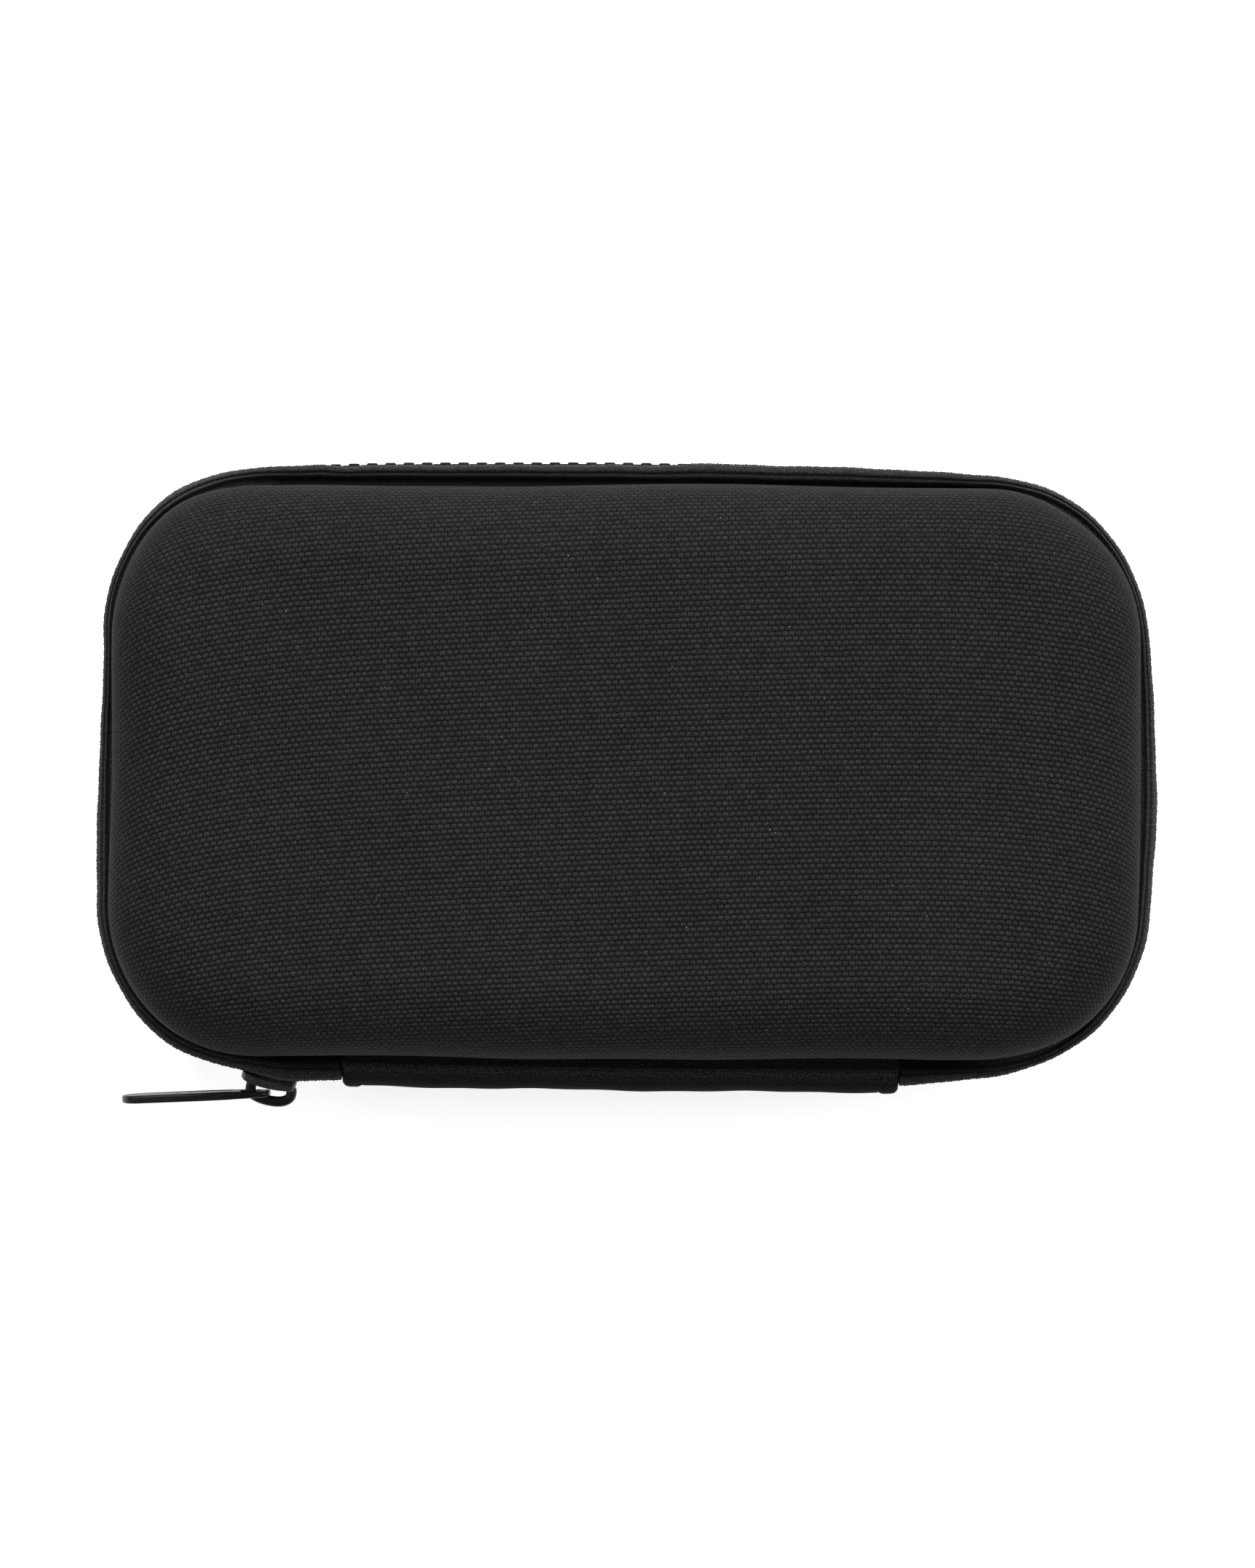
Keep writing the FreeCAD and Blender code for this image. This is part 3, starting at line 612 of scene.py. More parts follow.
def hinge_material():
    """Knitted band of the hinge: one row of tall loops, and a fine net of loops beside it, with painted
    shade in the groove beside the lid and along the band beyond the tall loops.
    """
    tall_loop, small_loop, level = (0.46, 1.1), (0.48, 0.5), 0.028
    n = Nodes("hinge_ribbed_fabric")
    uv, v, u_soft, v_soft = n.uneven_cloth(1.1, 2.0, 0.25, 0.3)
    rows = []
    for width, length in (tall_loop, small_loop):
        in_u, in_v, _ = bricks(n, u_soft, v_soft - (LOOPS_V - tall_loop[1] / 2), width, length)
        span = n.math("SQRT", (in_u * 2.0) ** 2.0 + (in_v * 2.0) ** 2.0)
        rows.append(n.ramp(abs(span - 0.62), 0.05, 0.5, 1.0, 0.0))
    tall = n.ramp(abs(v - LOOPS_V), 0.4, 0.8, 1.0, 0.0)
    loop = rows[0] * tall + rows[1] * (1.0 - tall)
    fibre = n.stretched_noise(uv, 3.2, 3.8, 3.0, 0.65)
    shade = n.ramp(loop, 0.0, 1.0, 0.55, 1.4) * n.ramp(fibre, 0.32, 0.7, 0.3, 1.8)
    # Painted shade: darker in the groove beside the lid, and growing darker along the band beyond the tall
    # loops.
    shade = shade * groove_shade(n, v, LOOPS_V - 1.75, 1.0, 0.6)
    shade = shade * n.ramp(v, LOOPS_V - 0.8, LOOPS_V + 2.2, 1.35, 0.5)
    bump = (loop + fibre * 1.2, 0.06, 0.8)
    roughness = n.ramp(fibre, 0.2, 0.8, 0.65, 0.9)
    return n.finish(n.shaded(shade, level), roughness, bump, 0.05)


def lining_material():
    """Brushed tricot lining: fine wales and a soft pile."""
    wale_width, wale_length = 0.5, 0.42
    n = Nodes("brushed_lining")
    uv, u, v = n.cloth()
    in_u, in_v, _ = bricks(n, u, v, wale_width, wale_length)
    pile = n.noise(uv, 2.2, 5.0, 0.7)
    nap = n.noise(n.place(), 60.0, 4.0, 0.6)
    shade = n.ramp(pile, 0.3, 0.7, 0.7, 1.25) * n.ramp(nap, 0.3, 0.7, 0.85, 1.15)
    colour = n.mix(shade, grey(0.004), grey(0.03, 1.03))
    bump = (dome(n, in_u, in_v, 0.8) * 0.6 + pile, 0.08, 0.7)
    roughness = n.ramp(pile, 0.2, 0.8, 0.8, 1.0)
    return n.finish(colour, roughness, bump, 0.15, Sheen_Weight=0.25, Sheen_Roughness=0.6)


def ribs(n, place, pitch):
    """Rounded ribs across a place, one for each pitch."""
    return abs(n.math("SINE", place * (math.pi / pitch)))


def binding_material():
    """Grosgrain binding: ribs across the tape with a woven edge."""
    rib_pitch = 0.62
    n = Nodes("grosgrain_binding")
    uv, u, _ = n.cloth()
    rib = ribs(n, u, rib_pitch)
    fibre = n.stretched_noise(uv, 9.0, 3.0, 3.0, 0.6, scale=1.2)
    shade = n.ramp(rib, 0.1, 0.9, 0.5, 1.0) * n.ramp(fibre, 0.3, 0.75, 0.7, 1.3)
    colour = n.mix(shade, grey(0.003), grey(0.02, 1.02))
    bump = (rib**0.6 + fibre * 0.4, 0.1, 0.8)
    return n.finish(colour, n.ramp(fibre, 0.2, 0.8, 0.55, 0.85), bump, 0.35, Sheen_Weight=0.06)


def thread_material():
    """Twisted polyester thread."""
    turns_per_mm = 2.6
    n = Nodes("sewing_thread")
    _, u, v = n.cloth()
    ply = n.math("SINE", (u * turns_per_mm + v) * TAU)
    fuzz = n.noise(n.place(), 5200.0, 2.0, 0.6)
    shade = n.ramp(ply, -1, 1, 0.55, 1.0) * n.ramp(fuzz, 0.3, 0.7, 0.8, 1.2)
    colour = n.mix(shade, grey(0.004), grey(0.035, 1.03))
    return n.finish(colour, n.ramp(fuzz, 0.2, 0.8, 0.4, 0.65), (ply, 0.05, 0.8), 0.45)


def plastic_material():
    """Moulded acetal of the zip teeth: satin, with faint flow marks."""
    n = Nodes("moulded_acetal")
    place = n.place()
    flow = n.noise(place, 900.0, 3.0, 0.6)
    grain = n.noise(place, 6000.0, 2.0, 0.5)
    colour = n.mix(n.ramp(flow, 0.3, 0.7), grey(0.006), grey(0.012, 1.03))
    roughness = n.ramp(flow, 0.3, 0.7, 0.42, 0.55) + grain * 0.1
    return n.finish(colour, roughness, (grain, 0.02, 0.5), 0.2)


def metal_material():
    """Black enamel on a zinc casting, rubbed a little thin at the edges; the plates are a rougher satin,
    with a painted sheen that makes them paler.
    """
    n = Nodes("black_enamel_metal")
    place = n.place()
    peel = n.noise(place, 1500.0, 2.0, 0.5)
    scuff = n.stretched_noise(place, 1.0, 1.0, 5.0, 0.7, scale=2600.0, z=0.25)
    edge = n.ramp(n.new("ShaderNodeNewGeometry", "Pointiness"), 0.53, 0.62) * n.ramp(scuff, 0.45, 0.7)
    # The marked plates get a rougher satin finish and a paler colour, a painted sheen standing for the soft
    # light they reflect.
    satin_and_painted_sheen = n.new("ShaderNodeAttribute", "Fac", attribute_name="satin_and_painted_sheen")
    colour = n.mix(n.ramp(peel, 0.3, 0.7), grey(0.008), grey(0.014, 1.04))
    colour = n.mix(satin_and_painted_sheen, colour, n.mix(n.ramp(scuff, 0.3, 0.7), grey(0.026), grey(0.055, 1.02)))
    colour = n.mix(edge * 0.35, colour, grey(0.12, 1.02))
    roughness = n.ramp(scuff, 0.35, 0.8, 0.3, 0.48) + (edge + satin_and_painted_sheen) * 0.15
    return n.finish(colour, roughness, (peel, 0.02, 0.3), 0.22, Coat_Weight=0.03, Coat_Roughness=0.2)


def foam_material():
    """Closed-cell EVA foam: fine pores and a slight skin."""
    n = Nodes("eva_foam_cells")
    place = n.place()
    cells = n.new("ShaderNodeTexVoronoi", "Distance", {"Vector": place, "Scale": 2600.0})
    mottle = n.noise(place, 220.0, 4.0, 0.6)
    colour = n.mix(n.ramp(mottle, 0.3, 0.7), grey(0.012), grey(0.026, 1.03))
    return n.finish(colour, n.ramp(cells, 0, 0.6, 0.95, 0.7), (cells, 0.06, 0.6), 0.3)


def knit_material():
    """Yarn of the knitted mesh."""
    n = Nodes("knitted_mesh_yarn")
    strand = n.stretched_noise(n.cloth()[0], 6.0, 6.0, 4.0, 0.7, scale=1.5)
    colour = n.mix(n.ramp(strand, 0.3, 0.75, 0.5, 1.2), grey(0.004), grey(0.028, 1.03))
    return n.finish(colour, n.ramp(strand, 0.2, 0.8, 0.5, 0.8), (strand, 0.06, 0.7), 0.4, Sheen_Weight=0.08)


def elastic_material():
    """Woven elastic: ribs along the band with crossing picks."""
    rib_pitch, pick_pitch = 0.55, 0.45
    n = Nodes("woven_elastic")
    uv, u, v = n.cloth()
    fibre = n.stretched_noise(uv, 3.0, 8.0, 3.0, 0.6, scale=1.5)
    height = ribs(n, v, rib_pitch) * n.ramp(ribs(n, u, pick_pitch), 0, 1, 0.75, 1.0) + fibre * 0.3
    shade = n.ramp(height, 0.1, 1.1, 0.4, 1.0) * n.ramp(fibre, 0.3, 0.75, 0.75, 1.25)
    colour = n.mix(shade, grey(0.004), grey(0.026, 1.03))
    return n.finish(colour, n.ramp(fibre, 0.2, 0.8, 0.5, 0.8), (height, 0.1, 0.8), 0.35, Sheen_Weight=0.05)


woven = woven_material()
tape = tape_material()
ribbed = hinge_material()
brushed = lining_material()
grosgrain = binding_material()
thread = thread_material()
acetal = plastic_material()
enamel = metal_material()
foam = foam_material()
knit = knit_material()
elastic = elastic_material()


def place_piece(obj, material, slot, body, *nodes):
    """Gives a new piece its material, its body and the CAD nodes it stands for, which it hides; the record
    slot is not used.
    """
    obj.data.materials.append(material)
    if body is not None:
        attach(obj, body)
    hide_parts(*nodes)
    return obj


# ---- moulded shells ----


def weave_bow(x):
    """How far the weft rows rise along the case: pulled askew and bowed down at both ends."""
    return 0.053 * x - 0.000275 * x**2 - 2.3e-11 * np.clip(x, -85, 85) ** 6


def shell_rows(seam, fillet_steps=14, wall_steps=16):
    """(inset, drop, run): the shell's rounded edge, wall and rolled rim; run is the length so far.

    seam is how deep the row of stitches draws the wall in.
    """
    rows = []
    for a in np.linspace(0, math.pi / 2, fillet_steps + 1):
        rows.append((FACE_FILLET * (1 - math.sin(a)), FACE_FILLET * (1 - math.cos(a)), FACE_FILLET * a))
    run = FACE_FILLET * math.pi / 2
    wall_end = TOP - RIM - ROLL_DEPTH
    for drop in np.linspace(FACE_FILLET, wall_end, wall_steps + 1)[1:]:
        swell = 0.1 * math.sin(math.pi * (drop - FACE_FILLET) / (wall_end - FACE_FILLET))
        groove = seam * math.exp(-(((drop - SEAM_DROP) / 0.55) ** 2))
        rows.append((groove - swell, drop, run + drop - FACE_FILLET))
    run += wall_end - FACE_FILLET
    for a in np.linspace(0, math.pi / 2, ROLL_STEPS + 1)[1:]:
        rows.append((ROLL_RADIUS * (1 - math.cos(a)), wall_end + 0.68 * math.sin(a), run + ROLL_RADIUS * a))
    return rows


def shell_grid(inset, crown, counts, bow, seam=0.0, pulled=False):
    """Points and cloth coordinates of one shell layer, from the middle of the face to the rim."""
    points, normals = shell.walk(shell.divided(counts))
    if pulled:
        points = points + normals * pull_at(points)[:, None]
    rows, cloth = [], []
    edge = points - normals * FACE_FILLET
    for t in np.linspace(0.03, 1, 28)[:-1]:
        lift = crown * (1 - t**2) ** 2
        rows.append(np.column_stack([edge * t, np.full(len(points), TOP - inset + lift)]))
        cloth.append(edge * t)
    fit = (FACE_FILLET - inset) / FACE_FILLET
    for row_inset, drop, run in shell_rows(seam):
        at_fillet = drop <= FACE_FILLET
        layer_inset = inset + row_inset * fit if row_inset > 0 and at_fillet else inset + row_inset
        layer_height = TOP - (inset + drop * fit if at_fillet else drop)
        rows.append(np.column_stack([points - normals * layer_inset, np.full(len(points), layer_height)]))
        cloth.append(edge + normals * run)
    coordinates = np.array(cloth)
    coordinates[..., 1] -= bow(coordinates[..., 0])
    return np.array(rows), np.concatenate([coordinates, coordinates[:, :1]], axis=1)


def close_middle(obj, starts, count, bow):
    """Fills the small holes left in the middle of a face, each ring beginning at a vertex in starts."""
    with edited(obj) as mesh:
        layer = mesh.loops.layers.uv["Cloth"]
        for ring in [[mesh.verts[start + j] for j in range(count)] for start in starts]:
            middle = mesh.verts.new((0, 0, ring[0].co.z))
            for j in range(count):
                face = mesh.faces.new((middle, ring[(j + 1) % count], ring[j]))
                face.smooth = True
                for loop in face.loops:
                    place = np.array(loop.vert.co[:2]) / MM
                    loop[layer].uv = (place[0], place[1] - bow(place[0]))
        face_outwards(mesh)
    return obj


def shell_surface(name, inset, crown, counts, bow, seam=0.0, pulled=False):
    """Face, rounded edge and wall of one shell layer, inset from the outside; the lid's way up."""
    grid, cloth = shell_grid(inset, crown, counts, bow, seam, pulled)
    return close_middle(skin(name, grid, cloth), [0], grid.shape[1], bow)


def foam_shell(name, crown, pulled):
    """The moulded foam between cover and lining: its outside follows the cover, short of the roll."""
    outside, cloth = shell_grid(COVER_THICKNESS + GLUE_GAP, crown, COARSE, plain, SEAM_PULL, pulled)
    inside, _ = shell_grid(FOAM_INSIDE, 0.0, COARSE, plain)
    last = -1 - ROLL_STEPS
    halves = [np.concatenate([g[:last], g[last, None] - [0, 0, FOAM_TRIM]]) for g in (outside, inside)]
    grid = np.concatenate([halves[0], halves[1][::-1]])
    rim = len(halves[0])
    coordinates = np.concatenate([cloth[:rim], cloth[:rim][::-1]])
    count = grid.shape[1]
    return close_middle(skin(name, grid, coordinates), [0, (len(grid) - 1) * count], count, plain)


def turn_over(obj):
    """Turns a lid-side mesh into the base's: heights mirrored about the zip."""
    for vert in obj.data.vertices:
        vert.co.z = 2 * MID * MM - vert.co.z
    obj.data.flip_normals()
    return obj


def face_up(obj, upwards=True):
    """Makes an open surface's normals point away from the case's middle."""
    farthest = max(obj.data.polygons, key=lambda face: face.center.z if upwards else -face.center.z)
    if (farthest.normal.z > 0) != upwards:
        obj.data.flip_normals()
    return obj


def plain(x):
    """No bow."""
    return 0.0 * x


# Steps of the outline for a half side, a corner and an end.
FINE = (60, 26, 30)
COARSE = (40, 18, 20)
COVER_THICKNESS = 0.5
GLUE_GAP = 0.04
FOAM_INSIDE = 4.12
LINING_FACE = 4.6
LINING_THICKNESS = 0.45
SEAM_PULL = 0.34
ROLL_STEPS = 4
ROLL_RADIUS, ROLL_DEPTH = 0.6, 0.7
FOAM_TRIM = 0.2
LID_CROWN = 0.35


def cloth_layer(name, body, thickness, offset, *shape):
    """A cloth of the lid with real thickness, or the base's, which is turned over."""
    obj = shell_surface(name, *shape)
    if body == "base":
        turn_over(obj)
    return thicken(face_up(obj, body == "lid"), thickness, offset)


for name, body, node, crown, pulled in (
    ("lid_cover", "lid", "lid_outer_fabric", LID_CROWN, True),
    ("base_cover", "base", "base_outer_fabric", 0.0, False),
):
    cover = cloth_layer(name, body, COVER_THICKNESS, -1.0, 0.0, crown, FINE, weave_bow, SEAM_PULL, pulled)
    place_piece(cover, woven, "woven_shell", body, node)

place_piece(foam_shell("lid_foam_moulding", LID_CROWN, True), foam, "eva_foam", "lid", "lid_foam_shell")
base_foam = turn_over(foam_shell("base_foam_moulding", 0.0, False))
place_piece(base_foam, foam, "eva_foam", "base", "base_foam_shell")

for name, body, node in (
    ("lid_lining_cloth", "lid", "lid_lining"),
    ("base_lining_cloth", "base", "base_lining"),
):
    lining = cloth_layer(name, body, LINING_THICKNESS, 1.0, LINING_FACE, 0.0, COARSE, plain)
    place_piece(lining, brushed, "lining", body, node)


# ---- zip tapes ----

TAPE_END = 41.6
HINGE_HALF = 42.5
HELD_LEFT, HELD_RIGHT = 69.5, 52.0  # the chain holds the lid's tape this far from the hinge's middle
PEEK_FROM, PEEK_TO = -47.0, 10.0
# Places in the tape's section, by how far out they are: where it leaves the lid's seam, the groove
# beside the lid, and the loose edge. The tape's top side is all that is higher than TOP_SIDE.
SEAM_OUT, GROOVE_OUT, LOOSE_OUT = -0.6, 0.1, 2.9
TOP_SIDE = 4.05


def rim_stations(end, step):
    """Stations round the rim from the hinge's +X side to its -X side."""
    finish = shell.length - end
    distances = np.linspace(end, finish, int((finish - end) / step))
    return distances, *shell.walk(distances)


def peek_at(points):
    """How far the teeth stand out beyond the tape: only along the front's left half."""
    x, y = points[:, 0], points[:, 1]
    inside = np.clip((x - PEEK_FROM) / 4, 0, 1) * np.clip((PEEK_TO - x) / 6, 0, 1)
    return np.where(y > 0, 0.5 * inside, 0.0)


def face_shift(reach):
    """How far the tape's upright face stands out more than usual, where its teeth are fixed."""
    return np.clip(reach - LOOSE_OUT, -0.6, 0.5)


def tape_section(points, distances):
    """The lid tape's section at each station, with its loose edge following the tape's real reach."""
    section = at_each(TAPE_TOP, points)
    out, height = section[..., 0].copy(), section[..., 1].copy()
    reach = reach_at(points) - peek_at(points)
    start = GROOVE_OUT + bumps(points, 0.0, GROOVE_SPOTS)
    share = np.clip((out - GROOVE_OUT) / (LOOSE_OUT - GROOVE_OUT), 0, 1)
    near = np.clip((out - SEAM_OUT) / (GROOVE_OUT - SEAM_OUT), 0, 1)
    top = height > TOP_SIDE
    knots = 0.05 * np.cos(TAU * distances / 0.55) + 0.03 * np.cos(TAU * distances / 1.37 + 1)
    wave = 0.05 * np.sin(TAU * distances / 17.0) + 0.03 * np.sin(TAU * distances / 7.3 + 2)
    stretched = out * (out < GROOVE_OUT) + GROOVE_OUT * (out >= GROOVE_OUT) + near * (start - GROOVE_OUT)
    stretched = stretched + share * (reach - start) + share**4 * knots + share * wave
    section[..., 0] = np.where(top & (out > SEAM_OUT), stretched, out)
    under_band = np.clip((HINGE_HALF + 0.7 - np.abs(points[:, 0])) / 0.7, 0, 1) * (points[:, 1] < 0)
    tucked = np.minimum(section[..., 0], 9 - 6.3 * under_band)
    lowered = under_band * np.clip(height - 4.1, 0, 2)
    section[..., 0] = np.where(top & (out > GROOVE_OUT), tucked, section[..., 0])
    section[..., 1] -= np.where(top & (out > SEAM_OUT), lowered, 0.0)
    face = ~top & (out > 1.0) & (section[..., 1] > -4)
    section[..., 0] += np.where(face, face_shift(reach)[None], 0.0)
    ridge = top & (out > 0.6) & (section[..., 1] > 4.9)
    section[..., 1] += np.where(ridge, 0.05 * np.cos(TAU * distances / 0.95) + 0.5 * wave, 0.0)
    section[..., 1] += MID
    return section


tape_distances, tape_points, tape_normals = rim_stations(TAPE_END, 0.2)
lid_section = tape_section(tape_points, tape_distances)


def make_tape(name, section, body, node):
    """A zip tape of this section; a body of None leaves it to be blended."""
    obj = swept(name, section, tape_points, tape_normals, tape_distances)
    return place_piece(obj, tape, "zip_tape", body, node)


lid_tape = make_tape("lid_tape", lid_section, None, "lid_zip_tape")
make_tape("base_tape", mirrored(lid_section), "base", "base_zip_tape")


def blend_tape(obj):
    """The lid's tape follows the lid, except beside the hinge, where its lower edge stays in the chain."""
    low, high = (MID + 1.2) * MM, (MID + 4.6) * MM
    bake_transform(obj, "base", "lid", start=(0, HINGE_LINE * MM, low), end=(0, HINGE_LINE * MM, high))
    attribute = obj.data.attributes["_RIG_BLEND"]
    weights = np.zeros(len(obj.data.vertices), np.float32)
    attribute.data.foreach_get("value", weights)
    places = np.array([v.co for v in obj.data.vertices]) / MM
    hold = np.where(places[:, 0] < 0, HELD_LEFT, HELD_RIGHT)
    free = np.clip((np.abs(places[:, 0]) - hold + 2) / 10, 0, 1)
    free = free * free * (3 - 2 * free)
    free = np.where(places[:, 1] > 0, 1.0, free)
    weights = weights + (1 - weights) * free.astype(np.float32)
    attribute.data.foreach_set("value", weights.astype(np.float32))


blend_tape(lid_tape)


# ---- zip teeth and stops ----


def nearest_station(place):
    """Point and normal of the outline nearest to a place."""
    _, points, normals = all_round(4600)
    k = np.argmin(np.linalg.norm(points - place[:2], axis=1))
    return points[k], normals[k]


# Half a moulded tooth: (half length along the chain, height above the zip's middle).
TOOTH = [
    (0.42, 0.28), (0.62, 0.4), (0.7, 0.66), (0.62, 1.0), (0.56, 1.3), (0.72, 1.62), (0.85, 2.0),
    (0.85, 2.9), (0.7, 3.15),
]
TOOTH_DEPTH = 1.9


def tooth_mesh(low, high, inner, outer):
    """One tooth as points (along, out, up) and faces: a bulbed head on a block that grips the tape."""
    profile = np.array([(-a, h) for a, h in TOOTH] + TOOTH[::-1])
    along = profile[:, 0]
    lowest, highest = TOOTH[0][1], TOOTH[-1][1]
    up = low + (profile[:, 1] - lowest) * (high - low) / (highest - lowest)
    middle = (low + high) / 2
    rings = []
    for out, shrink in ((inner, 0.82), (inner + 0.16, 1.0), (outer - 0.16, 1.0), (outer, 0.82)):
        heights = middle + (up - middle) * (0.5 + shrink / 2)
        rings.append(np.column_stack([along * shrink, np.full(len(along), out), heights]))
    faces = ring_faces(len(rings), len(profile))
    faces[-1] = faces[-1][::-1]
    return np.concatenate(rings), faces


def teeth(name, node, body):
    """Real tooth shapes at the places of a CAD node's teeth."""
    parts = []
    for solid in solids(node):
        low, high = solid.min(0), solid.max(0)
        centre = (low + high) / 2
        foot, normal = nearest_station(centre)
        chain = np.array([-normal[1], normal[0]])
        along_middle = ((solid[:, :2] - foot) @ chain).mean()
        reach = reach_at(foot[None])[0]
        outer = reach if peek_at(foot[None])[0] > 0.05 else min(reach - 0.25, 2.65 + face_shift(reach))
        above = centre[2] > MID
        up_low, up_high = (low[2] - MID, high[2] - MID) if above else (MID - high[2], MID - low[2])
        if up_low < 0.5:
            up_low -= 0.2
        shape, faces = tooth_mesh(up_low, up_high, outer - TOOTH_DEPTH, outer)
        height = MID + shape[:, 2] if above else MID - shape[:, 2]
        place = foot + np.outer(shape[:, 0] + along_middle, chain) + np.outer(shape[:, 1], normal)
        parts.append((np.column_stack([place, height]), faces))
    obj = finish_mesh(build(name, *joined(parts), smooth=False))
    return place_piece(obj, acetal, "zip_plastic", body, node)


teeth("lid_teeth", "lid_zip_teeth", "lid")
teeth("base_teeth", "base_zip_teeth", "base")
teeth("held_teeth", "zip_captured_teeth", "base")


# ---- seams, binding and stitches ----

STITCH_PITCH = 4.0


def binding(name, node, body):
    """Grosgrain folded over the sewn edges, pressed in at each stitch."""
    distances, points, normals = all_round(920)
    corners = [(-5.28, 5.02), (-6.05, 5.1), (-6.12, 8.2), (-6.05, 12.3), (-5.3, 12.45)]
    section = at_each(rounded(corners, 0.5, 4), points)
    pressed = 0.13 * np.exp(-(((section[..., 1] - SEAM_HEIGHT) / 0.55) ** 2))
    pull = 0.6 + 0.4 * np.cos(TAU * distances / STITCH_PITCH)
    section[..., 0] += np.where(section[..., 0] < -5.7, pressed * pull, 0)
    section[..., 1] += MID
    if body == "base":
        section = mirrored(section)
    obj = swept(name, section, points, normals, distances, closed=True)
    return place_piece(obj, grosgrain, "zip_tape", body, node)


binding("lid_edge_binding", "lid_binding", "lid")
binding("base_edge_binding", "base_binding", "base")


def stitch_mesh(solid, lift_axis, count=8):
    """A tight thread along a CAD stitch: thick in the middle, dipping into the cloth at its ends."""
    centre = (solid.min(0) + solid.max(0)) / 2
    out = lift_axis(centre)
    centre = centre - out * 0.38
    if centre[2] > MID and out[2] == 0:
        foot, _ = nearest_station(centre)
        drawn_in = max(-1.0, min(0.0, pull_at(foot[None])[0]))
        centre = centre + out * drawn_in * (out @ np.append(foot, 0) > 0)
    flat = solid - solid.mean(0)
    run = np.linalg.svd(flat)[2][0]
    half = np.abs(flat @ run).max()
    side = np.cross(run, out)
    side /= np.linalg.norm(side)
    angles = np.arange(count) / count * TAU
    rings = []
    for t in np.linspace(-1, 1, 9):
        radius = 0.2 * (1 - 0.45 * abs(t) ** 4)
        middle = centre + run * half * t + out * (-0.16 * abs(t) ** 3)
        rings.append(middle + radius * (np.outer(np.cos(angles), side) + np.outer(np.sin(angles), out)))
    return np.array(rings), 2 * half


def thread_uv(rows, count, length):
    """Cloth coordinates for the corners of ring_faces: length along the thread, and 0 to 1 round it."""
    uv = []
    for i in range(rows - 1):
        here, there = i * length / (rows - 1), (i + 1) * length / (rows - 1)
        for j in range(count):
            a, b = j / count, (j + 1) / count
            uv += [(here, a), (here, b), (there, b), (there, a)]
    return uv + [(0.0, 0.0)] * (2 * count)


def stitches(name, node, body, lift_axis):
    """Thread stitches at the places of a CAD node's stitches."""
    parts, uv = [], []
    for solid in solids(node):
        rings, length = stitch_mesh(solid, lift_axis)
        rows, count = rings.shape[:2]
        parts.append((rings.reshape(-1, 3), ring_faces(rows, count)))
        uv += thread_uv(rows, count, length)
    obj = finish_mesh(build(name, *joined(parts), uv))
    return place_piece(obj, thread, "thread", body, node)


def away_from_wall(centre):
    """Outwards on the outer row of a seam, inwards on the inner row."""
    foot, normal = nearest_station(centre)
    sign = 1.0 if (centre[:2] - foot) @ normal > -3 else -1.0
    return np.array([normal[0] * sign, normal[1] * sign, 0.0])


def downwards(_):
    """Down, wherever the stitch is."""
    return np.array([0.0, 0.0, -1.0])


stitches("lid_stitches", "lid_seam_stitches", "lid", away_from_wall)
stitches("base_stitches", "base_seam_stitches", "base", away_from_wall)
stitches("hem_stitches", "pocket_hem_stitches", "lid", downwards)


# ---- fabric hinge ----

# Upper halves of the two sections, (out from the shell's outline, height above the zip's middle).
BAND_OUT = [
    (-4.62, 11.4), (-4.64, 8.0), (-4.66, 5.6), (-4.4, 5.0), (-3.6, 4.9), (-0.4, 4.86), (0.1, 4.55),
    (0.5, 4.5), (0.9, 4.72), (1.5, 4.9), (2.2, 4.86), (2.9, 4.6), (3.5, 4.15), (4.0, 3.5), (4.4, 2.7),
    (4.62, 1.8), (4.72, 0.9), (4.75, 0.0),
]
FACING_OUT = [
    (-5.2, 4.0), (-3.0, 4.05), (0.9, 3.95), (1.9, 3.6), (2.8, 3.0), (3.4, 2.2), (3.75, 1.2), (3.85, 0.0),
]


def strip_surface(name, profile, half, columns, ripple):
    """A strip across the hinge gap from its half profile (out, height), both halves alike."""
    upper = np.array(profile)
    lower = upper[::-1][1:] * [1, -1]
    line = np.vstack([upper, lower])
    fine = []
    for a, b in zip(line[:-1], line[1:]):
        fine += [a, (a + b) / 2]
    line = np.array(fine + [line[-1]])
    x = np.linspace(-half, half, columns)
    points, normals = shell.walk(x)
    bulge = np.clip(line[:, 0], 0, 5)[:, None] / 4.75
    ends = np.clip((half - np.abs(x)) / 1.1, 0, 1)
    tuck = 0.55 * (1 - np.sqrt(1 - (1 - ends) ** 2))[None] * (bulge > 0.02)
    out = line[:, 0][:, None] + ripple(x)[None] * bulge - tuck
    grid = np.zeros((len(line), columns, 3))
    grid[..., :2] = points[None] + normals[None] * out[..., None]
    grid[..., 2] = MID + line[:, 1][:, None]
    return skin(name, grid, np.stack(np.meshgrid(x, lengths_along(line)), axis=-1), around=False)


def band_ripple(x):
    """Slight waves of the band, and the folded ends standing proud."""
    fold = 0.22 / (1 + np.exp(-(np.abs(x) - 39.9) / 0.12))
    line = -0.1 * np.exp(-(((np.abs(x) - 39.75) / 0.22) ** 2))
    return 0.1 * np.sin(TAU * x / 31 + 0.6) + 0.05 * np.sin(TAU * x / 11) + fold + line


def facing_ripple(x):
    """Slight waves of the facing."""
    return 0.05 * np.sin(TAU * x / 13 + 1.0)


HINGE_START = (0, HINGE_LINE * MM, (MID - 3.0) * MM)
HINGE_END = (0, HINGE_LINE * MM, (MID + 3.0) * MM)

hinge_band = strip_surface("hinge_band_cloth", BAND_OUT, HINGE_HALF, 240, band_ripple)
hinge_facing = strip_surface("hinge_facing_cloth", FACING_OUT, HINGE_HALF - 0.4, 120, facing_ripple)


